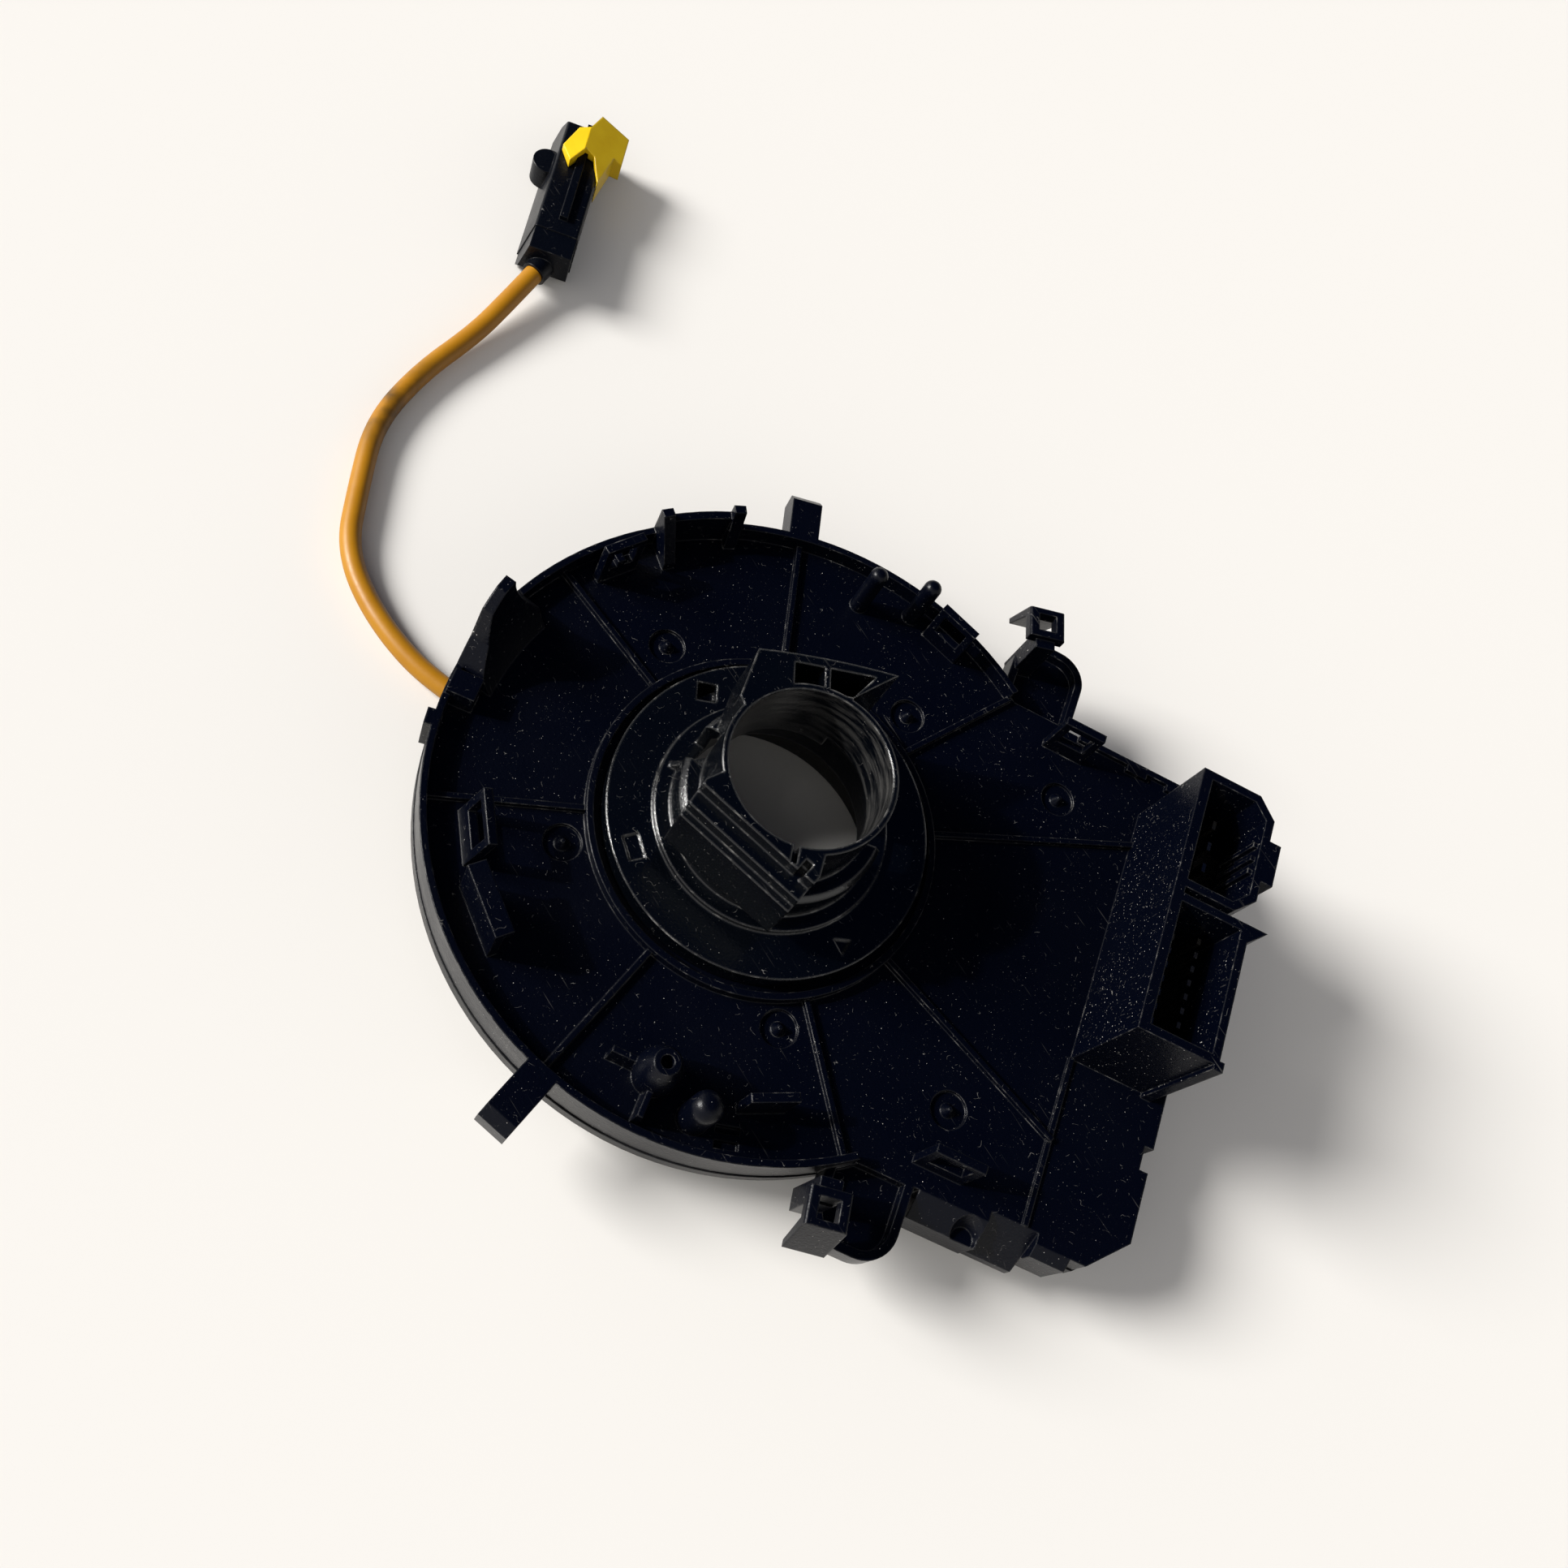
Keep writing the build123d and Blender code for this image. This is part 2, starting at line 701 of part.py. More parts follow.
    # Socket shells, open through the plate to the terminal block that closes them from below.
    with BuildSketch(Plane.XY.offset(plate_underside)):
        add(lower_shell.sketch)
        add(upper_shell.sketch)
        with Locations((socket_front_x, (lower_socket_start + upper_socket_end) / 2)):
            Rectangle(
                socket_front_wall,
                upper_socket_end - lower_socket_start,
                align=(Align.MIN, Align.CENTER),
            )
        with Locations((socket_end_x, rail_middle)):
            Rectangle(2 * rail_depth, rail_length)
        with Locations((socket_end_x, lower_socket_start)):
            Rectangle(corner_flange, corner_flange)
        with BuildLine():
            Polyline(
                (socket_end_x - socket_wall, lower_socket_end),
                (socket_end_x + corner_fin_reach, lower_socket_end),
                (socket_end_x, lower_socket_end - corner_fin_reach),
                (socket_end_x - socket_wall, lower_socket_end - corner_fin_reach),
                close=True,
            )
        make_face()
    extrude(amount=socket_top - plate_underside)
    with BuildSketch(Plane.XY.offset(plate_underside)):
        add(socket_spaces.sketch)
    extrude(amount=socket_top - plate_underside, mode=Mode.SUBTRACT)
    key_start = socket_floor + blade_height / 2 + moving_gap
    with BuildSketch(Plane.XY.offset(key_start)):
        with Locations((socket_end_x - socket_wall, rail_middle)):
            with GridLocations(0, 3 * key_rib, 1, 3):
                Rectangle(2 * key_rib, key_rib)
    extrude(amount=socket_top - key_start - key_rib)
rear_case.part.label = "rear_case"

# Wheel-side ring of the case with the tray under the bay.
with BuildPart() as front_case:
    with BuildSketch(Plane.XY.offset(case_bottom)):
        offset(case_outline.sketch, amount=-band_inset)
    extrude(amount=lip_bottom - case_bottom)
    with BuildSketch(Plane.XY.offset(lip_bottom)):
        offset(case_outline.sketch, amount=lip_overhang)
    extrude(amount=lip_height)
    with BuildSketch(Plane.XY.offset(lip_top)):
        offset(case_outline.sketch, amount=-case_inset)
    extrude(amount=plate_underside - lip_top)
    with BuildSketch(Plane.XY.offset(case_bottom + case_floor)):
        offset(case_outline.sketch, amount=-case_inset - case_wall)
        add(arc_band(partition_radius - case_wall, partition_radius, -50, 50), mode=Mode.SUBTRACT)
    extrude(amount=plate_underside - case_bottom - case_floor, mode=Mode.SUBTRACT)
    with BuildSketch(Plane.XY.offset(case_bottom)):
        Circle(rotor_opening_radius)
    extrude(amount=plate_underside - case_bottom, mode=Mode.SUBTRACT)
    with BuildSketch(Plane.XY.offset(case_bottom + case_floor)):
        with Locations((partition_radius, ribbon_bend)):
            Rectangle(4 * case_wall, 5.0)
    extrude(amount=plate_underside - case_bottom - case_floor, mode=Mode.SUBTRACT)
front_case.part.label = "front_case"

# Terminal block: a base under the plate with two islands that close the sockets.
block_bottom = plate_underside - block_thickness
with BuildPart() as outer_terminal_block:
    with BuildSketch(Plane.XY.offset(block_bottom)):
        with Locations((socket_front_x, (lower_socket_start + upper_socket_end) / 2)):
            Rectangle(
                socket_end_x - socket_front_x,
                upper_socket_end - lower_socket_start,
                align=(Align.MIN, Align.CENTER),
            )
    extrude(amount=block_thickness)
    with BuildSketch(Plane.XY.offset(plate_underside)):
        offset(socket_spaces.sketch, amount=-running_gap)
    extrude(amount=socket_floor - plate_underside)
    with BuildSketch(Plane.XY.offset(block_bottom)):
        with Locations(*lower_blades):
            Rectangle(blade_thickness, blade_width)
        with Locations(*airbag_blades):
            Rectangle(blade_thickness, airbag_blade_width)
    extrude(amount=socket_floor - block_bottom, mode=Mode.SUBTRACT)
outer_terminal_block.part.label = "outer_terminal_block"

# Blades of the long socket, set in the terminal block.
with BuildPart() as lower_socket_pins:
    with BuildSketch(Plane.XY.offset(block_bottom)):
        with Locations(*lower_blades):
            Rectangle(blade_thickness, blade_width)
    extrude(amount=socket_floor + blade_height - block_bottom)
lower_socket_pins.part.label = "lower_socket_pins"

# Blades of the airbag socket.
with BuildPart() as upper_socket_pins:
    with BuildSketch(Plane.XY.offset(block_bottom)):
        with Locations(*airbag_blades):
            Rectangle(blade_thickness, airbag_blade_width)
    extrude(amount=socket_floor + blade_height - block_bottom)
upper_socket_pins.part.label = "upper_socket_pins"

# Spring strip that joins the airbag blades while nothing is plugged in.
clip_x = space_middle_x + blade_thickness / 2
clip_reach = socket_end_x - socket_wall - running_gap - clip_x
with BuildPart() as shorting_clip:
    with BuildSketch(Plane.XZ.offset(-upper_middle)):
        with BuildLine():
            Polyline(
                (clip_x, socket_floor + blade_height / 2),
                (clip_x + clip_reach, socket_floor + blade_height / 3),
                (clip_x + clip_reach, socket_floor),
                (clip_x + clip_reach - blade_thickness, socket_floor),
                (clip_x + clip_reach - blade_thickness, socket_floor + blade_height / 3 - blade_thickness),
                (clip_x, socket_floor + blade_height / 2 - blade_thickness),
                close=True,
            )
        make_face()
    extrude(amount=airbag_blade_pitch, both=True)
shorting_clip.part.label = "shorting_clip"

# Clip on the ribbon's outer end, in the bay just outside the partition.
outer_clip_x = partition_radius + running_gap
outer_clip_depth = 4.6
outer_clip_half = 12.0
with BuildPart() as outer_ribbon_clip:
    with BuildSketch(Plane.XY.offset(block_bottom)):
        with Locations((outer_clip_x, 0)):
            Rectangle(outer_clip_depth, 2 * outer_clip_half, align=(Align.MIN, Align.CENTER))
    extrude(amount=block_thickness)
outer_ribbon_clip.part.label = "outer_ribbon_clip"

# Strips from the blades to the ribbon's clip.
with BuildPart() as outer_busbars:
    with BuildSketch(Plane.XY.offset(block_bottom - busbar_thickness)):
        for x, y in lower_blades:
            strip_start = outer_clip_x + outer_clip_depth - 1.0
            with Locations((strip_start, y)):
                Rectangle(
                    x + blade_thickness / 2 - strip_start,
                    busbar_width,
                    align=(Align.MIN, Align.CENTER),
                )
        for step, (x, y) in enumerate(airbag_blades):
            turn_x = outer_clip_x + busbar_pitch * step
            with Locations((turn_x, y)):
                Rectangle(x + blade_thickness / 2 - turn_x, busbar_width, align=(Align.MIN, Align.CENTER))
            with Locations((turn_x, y + busbar_width / 2)):
                Rectangle(
                    busbar_width,
                    y + busbar_width / 2 - outer_clip_half + 1.0,
                    align=(Align.MIN, Align.MAX),
                )
    extrude(amount=busbar_thickness)
outer_busbars.part.label = "outer_busbars"

# Rotor's wheel-side disc: web, drums, rim, ribs and the rings that the part stands on.
drum_top = plate_top - running_gap
drum_inside = ribbon_drum_radius - ribbon_drum_wall
ribbon_drum_top = plate_underside - 2 * sheet_thickness
rotor_rim_top = case_bottom + case_floor
wheel_socket_radius = drum_radius + moving_gap + wheel_socket_depth / 2
with BuildPart() as front_rotor:
    with BuildSketch(Plane.XY.offset(web_underside)):
        Circle(rotor_radius)
        Circle(drum_bore_radius, mode=Mode.SUBTRACT)
    extrude(amount=web_thickness)
    with BuildSketch(Plane.XY):
        Circle(drum_radius)
        Circle(drum_bore_radius, mode=Mode.SUBTRACT)
    extrude(amount=drum_top)
    with BuildSketch(Plane.XY.offset(rotor_rim_rise)):
        Circle(rotor_radius)
        Circle(rotor_radius - rotor_rim_wall, mode=Mode.SUBTRACT)
    extrude(amount=rotor_rim_top - rotor_rim_rise)
    with BuildSketch(Plane.XY.offset(web_top)):
        Circle(ribbon_drum_radius)
        Circle(drum_inside, mode=Mode.SUBTRACT)
    extrude(amount=ribbon_drum_top - web_top)
    with BuildSketch(Plane.XY.offset(rotor_rim_rise)):
        rib_step = 360 / front_rib_count
        for step in range(front_rib_count):
            azimuth = lead_exit_azimuth + rib_step * (step + 0.5)
            with Locations(Location((*polar((drum_radius + rotor_radius) / 2, azimuth), 0), (0, 0, azimuth))):
                Rectangle(rotor_radius - drum_radius, front_rib_width)
    extrude(amount=web_underside - rotor_rim_rise)
    with BuildSketch(Plane.XY):
        Circle(foot_outer_radius)
        Circle(foot_outer_radius - foot_width, mode=Mode.SUBTRACT)
    extrude(amount=web_underside)
    with BuildSketch(level_plane((foot_outer_radius + rotor_radius) / 2, lead_exit_azimuth, 0)):
        Rectangle(4 * foot_width, lead_diameter + 2 * moving_gap)
    extrude(amount=web_underside, mode=Mode.SUBTRACT)
    with BuildSketch(level_plane(wheel_socket_radius, wheel_socket_azimuth, 0)):
        Rectangle(wheel_socket_depth + 2 * running_gap, wheel_socket_width + 2 * running_gap)
    extrude(amount=web_top, mode=Mode.SUBTRACT)
    with BuildSketch(level_plane(crimp_radius, lead_exit_azimuth, web_underside)):
        Rectangle(2 * crimp_width, boot_width)
    extrude(amount=web_thickness, mode=Mode.SUBTRACT)
    with BuildSketch(Plane.XY.offset(web_top)):
        with Locations((ribbon_drum_radius, -ribbon_bend)):
            Rectangle(4 * ribbon_drum_wall, 5.0)
    extrude(amount=ribbon_drum_top - web_top, mode=Mode.SUBTRACT)
front_rotor.part.label = "front_rotor"

# Thin sheets above and below the ribbon.
with BuildPart() as front_slip_sheet:
    with BuildSketch(Plane.XY.offset(web_top)):
        Circle(rotor_radius - rotor_rim_wall - sheet_thickness)
        Circle(ribbon_drum_radius + sheet_thickness, mode=Mode.SUBTRACT)
    extrude(amount=sheet_thickness)
front_slip_sheet.part.label = "front_slip_sheet"
with BuildPart() as rear_slip_sheet:
    with BuildSketch(Plane.XY.offset(plate_underside - sheet_thickness)):
        Circle(rotor_opening_radius - sheet_thickness)
        Circle(ribbon_drum_radius + sheet_thickness, mode=Mode.SUBTRACT)
    extrude(amount=sheet_thickness)
rear_slip_sheet.part.label = "rear_slip_sheet"

# Flat cable: half-turn arcs about two centres make the spiral, with a bend at its outer end.
ribbon_start_radius = ribbon_drum_radius + ribbon_clearance
ribbon_pitch = (rotor_radius - ribbon_stack / 2 - ribbon_start_radius) / ribbon_turns
ribbon_bottom = case_bottom + case_floor + moving_gap
ribbon_top = plate_underside - 2 * sheet_thickness - moving_gap / 2


def ribbon_edge(side):
    """One edge of the ribbon's plan outline, `side` from its middle line."""
    edges = []
    for half in range(2 * ribbon_turns):
        arc_radius = ribbon_start_radius + ribbon_pitch * half / 2 + side
        centre_x = 0.0 if half % 2 == 0 else ribbon_pitch / 2
        edges.append(CenterArc((centre_x, 0), arc_radius, 180 * half, 180))
    end_x = ribbon_start_radius + ribbon_pitch * ribbon_turns
    edges.append(CenterArc((end_x + ribbon_bend, 0), ribbon_bend - side, 180, -90))
    edges.append(
        Line(
            (end_x + ribbon_bend, ribbon_bend - side),
            (outer_clip_x, ribbon_bend - side),
        )
    )
    return edges


with BuildPart() as ribbon_cable:
    with BuildSketch(Plane.XY.offset(ribbon_bottom)):
        with BuildLine():
            inner_edge = ribbon_edge(-ribbon_stack / 2)
            outer_edge = ribbon_edge(ribbon_stack / 2)
            add(inner_edge)
            add(outer_edge)
            Line(inner_edge[0] @ 0, outer_edge[0] @ 0)
            Line(inner_edge[-1] @ 1, outer_edge[-1] @ 1)
        make_face()
    extrude(amount=ribbon_top - ribbon_bottom)
ribbon_cable.part.label = "ribbon_cable"

# Wheel socket, opening toward the wheel, with the curved carrier of the rotor's strips.
carrier_top = web_top + carrier_thickness
carrier_inner_radius = drum_radius + moving_gap
wheel_socket_roof = wheel_socket_bottom + wheel_socket_height
wheel_plane = level_plane(wheel_socket_radius, wheel_socket_azimuth, wheel_socket_bottom)
wheel_run = wheel_blade_pitch * (wheel_blade_count - 1)
wheel_blades = [(0, wheel_blade_pitch * step - wheel_run / 2) for step in range(wheel_blade_count)]
with BuildPart() as wheel_socket:
    with BuildSketch(Plane.XY.offset(web_top)):
        add(arc_band(carrier_inner_radius, carrier_outer_radius, -18, lead_exit_azimuth + 8))
    extrude(amount=carrier_thickness)
    with BuildSketch(level_plane(crimp_radius, lead_exit_azimuth, web_top)):
        Rectangle(2 * crimp_width, boot_width)
    extrude(amount=carrier_thickness, mode=Mode.SUBTRACT)
    with BuildSketch(wheel_plane):
        Rectangle(wheel_socket_depth, wheel_socket_width)
    extrude(amount=wheel_socket_height)
    with BuildSketch(wheel_plane):
        Rectangle(wheel_socket_depth - 2 * wheel_socket_wall, wheel_socket_width - 2 * wheel_socket_wall)
    extrude(amount=wheel_socket_height - wheel_socket_back, mode=Mode.SUBTRACT)
    with BuildSketch(wheel_plane):
        with Locations(*wheel_blades):
            Rectangle(blade_thickness, blade_width)
    extrude(amount=wheel_socket_height, mode=Mode.SUBTRACT)
wheel_socket.part.label = "wheel_socket"

# Blades of the wheel socket.
with BuildPart() as wheel_socket_pins:
    with BuildSketch(wheel_plane.offset(wheel_socket_height - blade_height / 2 - wheel_socket_back)):
        with Locations(*wheel_blades):
            Rectangle(blade_thickness, blade_width)
    extrude(amount=blade_height / 2 + wheel_socket_back + busbar_thickness)
wheel_socket_pins.part.label = "wheel_socket_pins"

# Clip on the ribbon's inner end.
with BuildPart() as inner_ribbon_clip:
    with BuildSketch(Plane.XY.offset(carrier_top + busbar_thickness)):
        with Locations((drum_inside - ribbon_drum_wall, -ribbon_bend)):
            Rectangle(4.6, 6.0, align=(Align.MAX, Align.CENTER))
    extrude(amount=ribbon_top - carrier_top - busbar_thickness)
inner_ribbon_clip.part.label = "inner_ribbon_clip"

# Curved strips on the carrier: ribbon to wheel socket, and wheel socket to airbag lead.
with BuildPart() as inner_busbars:
    with BuildSketch(Plane.XY.offset(carrier_top)):
        near_end = wheel_socket_azimuth - wheel_strip_gap
        far_start = wheel_socket_azimuth + wheel_strip_gap
        for step in range(strip_count):
            strip_radius = carrier_inner_radius + strip_pitch * (step + 0.5)
            add(arc_band(strip_radius, strip_radius + busbar_width, -14, near_end))
            if step > 0:
                add(arc_band(strip_radius, strip_radius + busbar_width, far_start, lead_exit_azimuth - 13))
    extrude(amount=busbar_thickness)
inner_busbars.part.label = "inner_busbars"

# Strain relief that grips the lead under the web, and the two crimps on its wires.
lead_out = Vector(*lead_points[1]) - Vector(*lead_points[0])
lead_out = lead_out.normalized()
boot_plane = Plane(origin=lead_points[0], x_dir=lead_out.rotate(Axis.Z, 90), z_dir=-lead_out)
boot_rise = web_underside - lead_points[0][2]
with BuildPart() as lead_boot:
    with BuildSketch(boot_plane):
        Rectangle(boot_width, 2 * lead_points[0][2] - 2 * sheet_thickness)
        with Locations((0, -boot_rise)):
            Rectangle(boot_width / 2, boot_rise, align=(Align.CENTER, Align.MIN))
    extrude(amount=boot_length)
lead_boot.part.label = "lead_boot"

# Two crimps that carry the lead's wires up through the web to the strips.
boot_end = lead_points[0][0] + boot_length
with BuildPart() as lead_terminals:
    with BuildSketch(Plane.XZ.offset(-lead_points[0][1])):
        with BuildLine():
            crimp_rise = carrier_top + busbar_thickness
            Polyline(
                (boot_end + moving_gap, lead_points[0][2]),
                (-crimp_radius, lead_points[0][2]),
                (-crimp_radius, crimp_rise),
                (-crimp_radius - crimp_thickness, crimp_rise),
                (-crimp_radius - crimp_thickness, lead_points[0][2] + crimp_thickness),
                (boot_end + moving_gap, lead_points[0][2] + crimp_thickness),
                close=True,
            )
        make_face()
    crimp = extrude(amount=crimp_width / 2, both=True, mode=Mode.PRIVATE)
    with Locations((0, crimp_width, 0), (0, -crimp_width, 0)):
        add(crimp)
lead_terminals.part.label = "lead_terminals"

# Airbag lead: straight runs joined by the largest arcs that their lengths allow.
route = [Vector(*point) for point in lead_points]
lead_radii = []
for before, corner, after in zip(route, route[1:], route[2:]):
    half_turn = radians((corner - before).get_angle(after - corner)) / 2
    shorter = min((corner - before).length, (after - corner).length)
    lead_radii.append(0.45 * shorter / tan(half_turn))
with BuildPart() as pigtail_lead:
    with BuildLine():
        lead_path = FilletPolyline(*route, radius=lead_radii)
    with BuildSketch(Plane(origin=lead_path @ 0, z_dir=lead_path % 0)):
        Circle(lead_diameter / 2)
    sweep(path=lead_path)
pigtail_lead.part.label = "pigtail_lead"
lead_section = pi * lead_diameter**2 / 4
print("lead length", round(lead_path.length, 2), "radii", [round(r, 1) for r in lead_radii])
print("lead volume share", round(pigtail_lead.part.volume / (lead_section * lead_path.length), 4))

# Connector frame: X runs along the housing from its wire end, Y points left and Z up.
connector_plane = Plane(Location((connector_x, connector_y, 0), (0, 0, connector_heading)))
section_plane = Plane(
    origin=connector_plane.origin,
    x_dir=connector_plane.y_dir,
    z_dir=connector_plane.x_dir,
)
side_plane = Plane(
    origin=connector_plane.origin,
    x_dir=connector_plane.x_dir,
    z_dir=-connector_plane.y_dir,
)
with BuildSketch() as housing_section:
    with BuildLine():
        Polyline(
            (-connector_right, 0),
            (connector_left, 0),
            (connector_left - connector_lean, connector_height),
            (-connector_right, connector_height),
            close=True,
        )
    make_face()

# Airbag connector: leaning box open at its far end, with a catch and a rail for the lock.
with BuildPart() as airbag_connector:
    with BuildSketch(section_plane.offset(cover_length)):
        add(housing_section.sketch)
    extrude(amount=connector_length - cover_length)
    roof_edges = airbag_connector.edges().filter_by(Axis((0, 0, 0), connector_plane.x_dir))
    fillet(roof_edges.group_by(Axis.Z)[-1], connector_wall / 2)
    with BuildSketch(section_plane.offset(connector_back)):
        with Locations((lock_side - connector_right, connector_height)):
            Rectangle(rail_width, 2 * rail_height)
    extrude(amount=connector_length - connector_back)
    with BuildSketch(connector_plane.offset(connector_height / 4)):
        with Locations((catch_place, connector_left - connector_lean / 3)):
            SlotOverall(catch_length, catch_length)
    extrude(amount=connector_height / 2)
    with BuildSketch(section_plane.offset(connector_back)):
        offset(housing_section.sketch, amount=-connector_wall)
    extrude(amount=connector_length - connector_back, mode=Mode.SUBTRACT)
    with BuildSketch(side_plane):
        with BuildLine():
            Polyline(
                (connector_length, connector_height / 2),
                (connector_length, 2 * connector_height),
                (connector_length - connector_rake, 2 * connector_height),
                (connector_length - connector_rake, connector_height),
                close=True,
            )
        make_face()
    extrude(amount=2 * connector_left, both=True, mode=Mode.SUBTRACT)
airbag_connector.part.label = "airbag_connector"

# Backshell that closes the housing behind the wires, with a collar round the lead.
collar_plane = Plane(origin=lead_path @ 1, z_dir=lead_path % 1)
with BuildPart() as connector_cover:
    with BuildSketch(section_plane):
        offset(housing_section.sketch, amount=-sheet_thickness)
    extrude(amount=cover_length)
    with BuildSketch(side_plane):
        with BuildLine():
            Polyline((0, 0), (connector_rake, 0), (0, connector_height / 3), close=True)
        make_face()
    extrude(amount=2 * connector_left, both=True, mode=Mode.SUBTRACT)
    with BuildSketch(collar_plane):
        Circle(collar_radius)
    extrude(amount=collar_length)
connector_cover.part.label = "connector_cover"

# Receptacle contacts that stand on the housing's back wall.
with BuildPart() as airbag_contacts:
    with BuildSketch(section_plane.offset(connector_back)):
        with GridLocations(contact_pitch, 0, 2, 1):
            with Locations((0, connector_height / 2)):
                Rectangle(contact_size, contact_size)
                Rectangle(contact_size - crimp_thickness, contact_size - crimp_thickness, mode=Mode.SUBTRACT)
    extrude(amount=contact_length)
airbag_contacts.part.label = "airbag_contacts"

# Locking slide: a saddle over the housing's far end, grooved for the rail.
lock_seat = connector_height + skirt_clearance
with BuildPart() as airbag_lock:
    with BuildSketch(section_plane.offset(lock_start)):
        with BuildLine():
            Polyline(
                (connector_left - connector_lean + rail_height / 2, lock_seat),
                (connector_left - connector_lean + rail_height / 2, lock_seat + lock_rise / 2),
                (lock_side - connector_right, lock_seat + lock_rise),
                (-connector_right - lock_side, connector_height - lock_rise / 3),
                (-connector_right - lock_side, connector_height - lock_drop),
                (-connector_right - skirt_clearance, connector_height - lock_drop),
                (-connector_right - skirt_clearance, lock_seat),
                close=True,
            )
        make_face()
        with Locations((lock_side - connector_right, lock_seat)):
            Rectangle(
                rail_width + 2 * skirt_clearance,
                2 * rail_height,
                mode=Mode.SUBTRACT,
            )
    extrude(amount=lock_length)
    with BuildSketch(Plane(connector_plane.location * Location((lock_start, 0, 0)))):
        with BuildLine():
            Polyline(*lock_plan, close=True)
        make_face()
    extrude(amount=2 * connector_height, mode=Mode.INTERSECT)
airbag_lock.part.label = "airbag_lock"

# Cancelling lugs, sketched in a frame turned to their outer walls: X along the wall, Y outward.
lug_plane = Plane(Location((0, 0, lug_floor), (0, 0, lug_turn)))
tube_outer_radius = tube_bore_radius + tube_wall
with BuildPart() as fan_lug:
    with BuildSketch(lug_plane):
        with BuildLine():
            wall = ThreePointArc(
                (lug_start, lug_reach),
                ((lug_start + lug_end) / 2, lug_reach + lug_bow),
                (lug_end, lug_reach),
            )
            Polyline(
                wall @ 1,
                (lug_root_end, tube_outer_radius - lug_wall),
                (lug_root_end, 0),
                (lug_root_start / 2, 0),
                (lug_root_start, 0.7 * tube_outer_radius),
                wall @ 0,
            )
        make_face()
    extrude(amount=tube_top - lug_floor)
    with BuildSketch(lug_plane.offset(boss_top - lug_floor)):
        with BuildLine():
            Polyline(
                (lug_pocket_start, tube_bore_radius),
                (lug_pocket_start, lug_reach - lug_wall),
                (lug_end - 3.6 * lug_wall, lug_reach - lug_wall),
                (lug_root_end, tube_bore_radius),
                close=True,
            )
        make_face()
        Circle(tube_outer_radius, mode=Mode.SUBTRACT)
        with Locations((lug_web_place, 0)):
            Rectangle(rib_width, 4 * lug_reach, mode=Mode.SUBTRACT)
    extrude(amount=tube_top - boss_top, mode=Mode.SUBTRACT)

# The other lug is solid and stepped, drawn in the same frame and mirrored to its own side.
with BuildPart() as block_lug:
    for reach, drop in lug_steps:
        with BuildSketch(lug_plane):
            with BuildLine():
                Polyline(
                    (block_lug_start + rib_height / 2, lug_steps[0][0]),
                    (block_lug_start, 0.95 * tube_outer_radius),
                    (block_lug_start / 2, 0),
                    (lug_root_end, 0),
                    (block_lug_end, 0.92 * tube_outer_radius),
                    (block_lug_end, lug_steps[0][0]),
                    close=True,
                )
            make_face()
            with Locations((0, reach)):
                Rectangle(4 * lug_reach, lug_reach, align=(Align.CENTER, Align.MIN), mode=Mode.SUBTRACT)
        extrude(amount=tube_top - drop - lug_floor)
    with BuildSketch(lug_plane.offset(tube_top - lug_floor)):
        with Locations((block_lug_end - 2 * block_lug_slot, tube_outer_radius)):
            Rectangle(block_lug_slot, 4 * tube_wall)
    extrude(amount=-2 * block_lug_slot, mode=Mode.SUBTRACT)

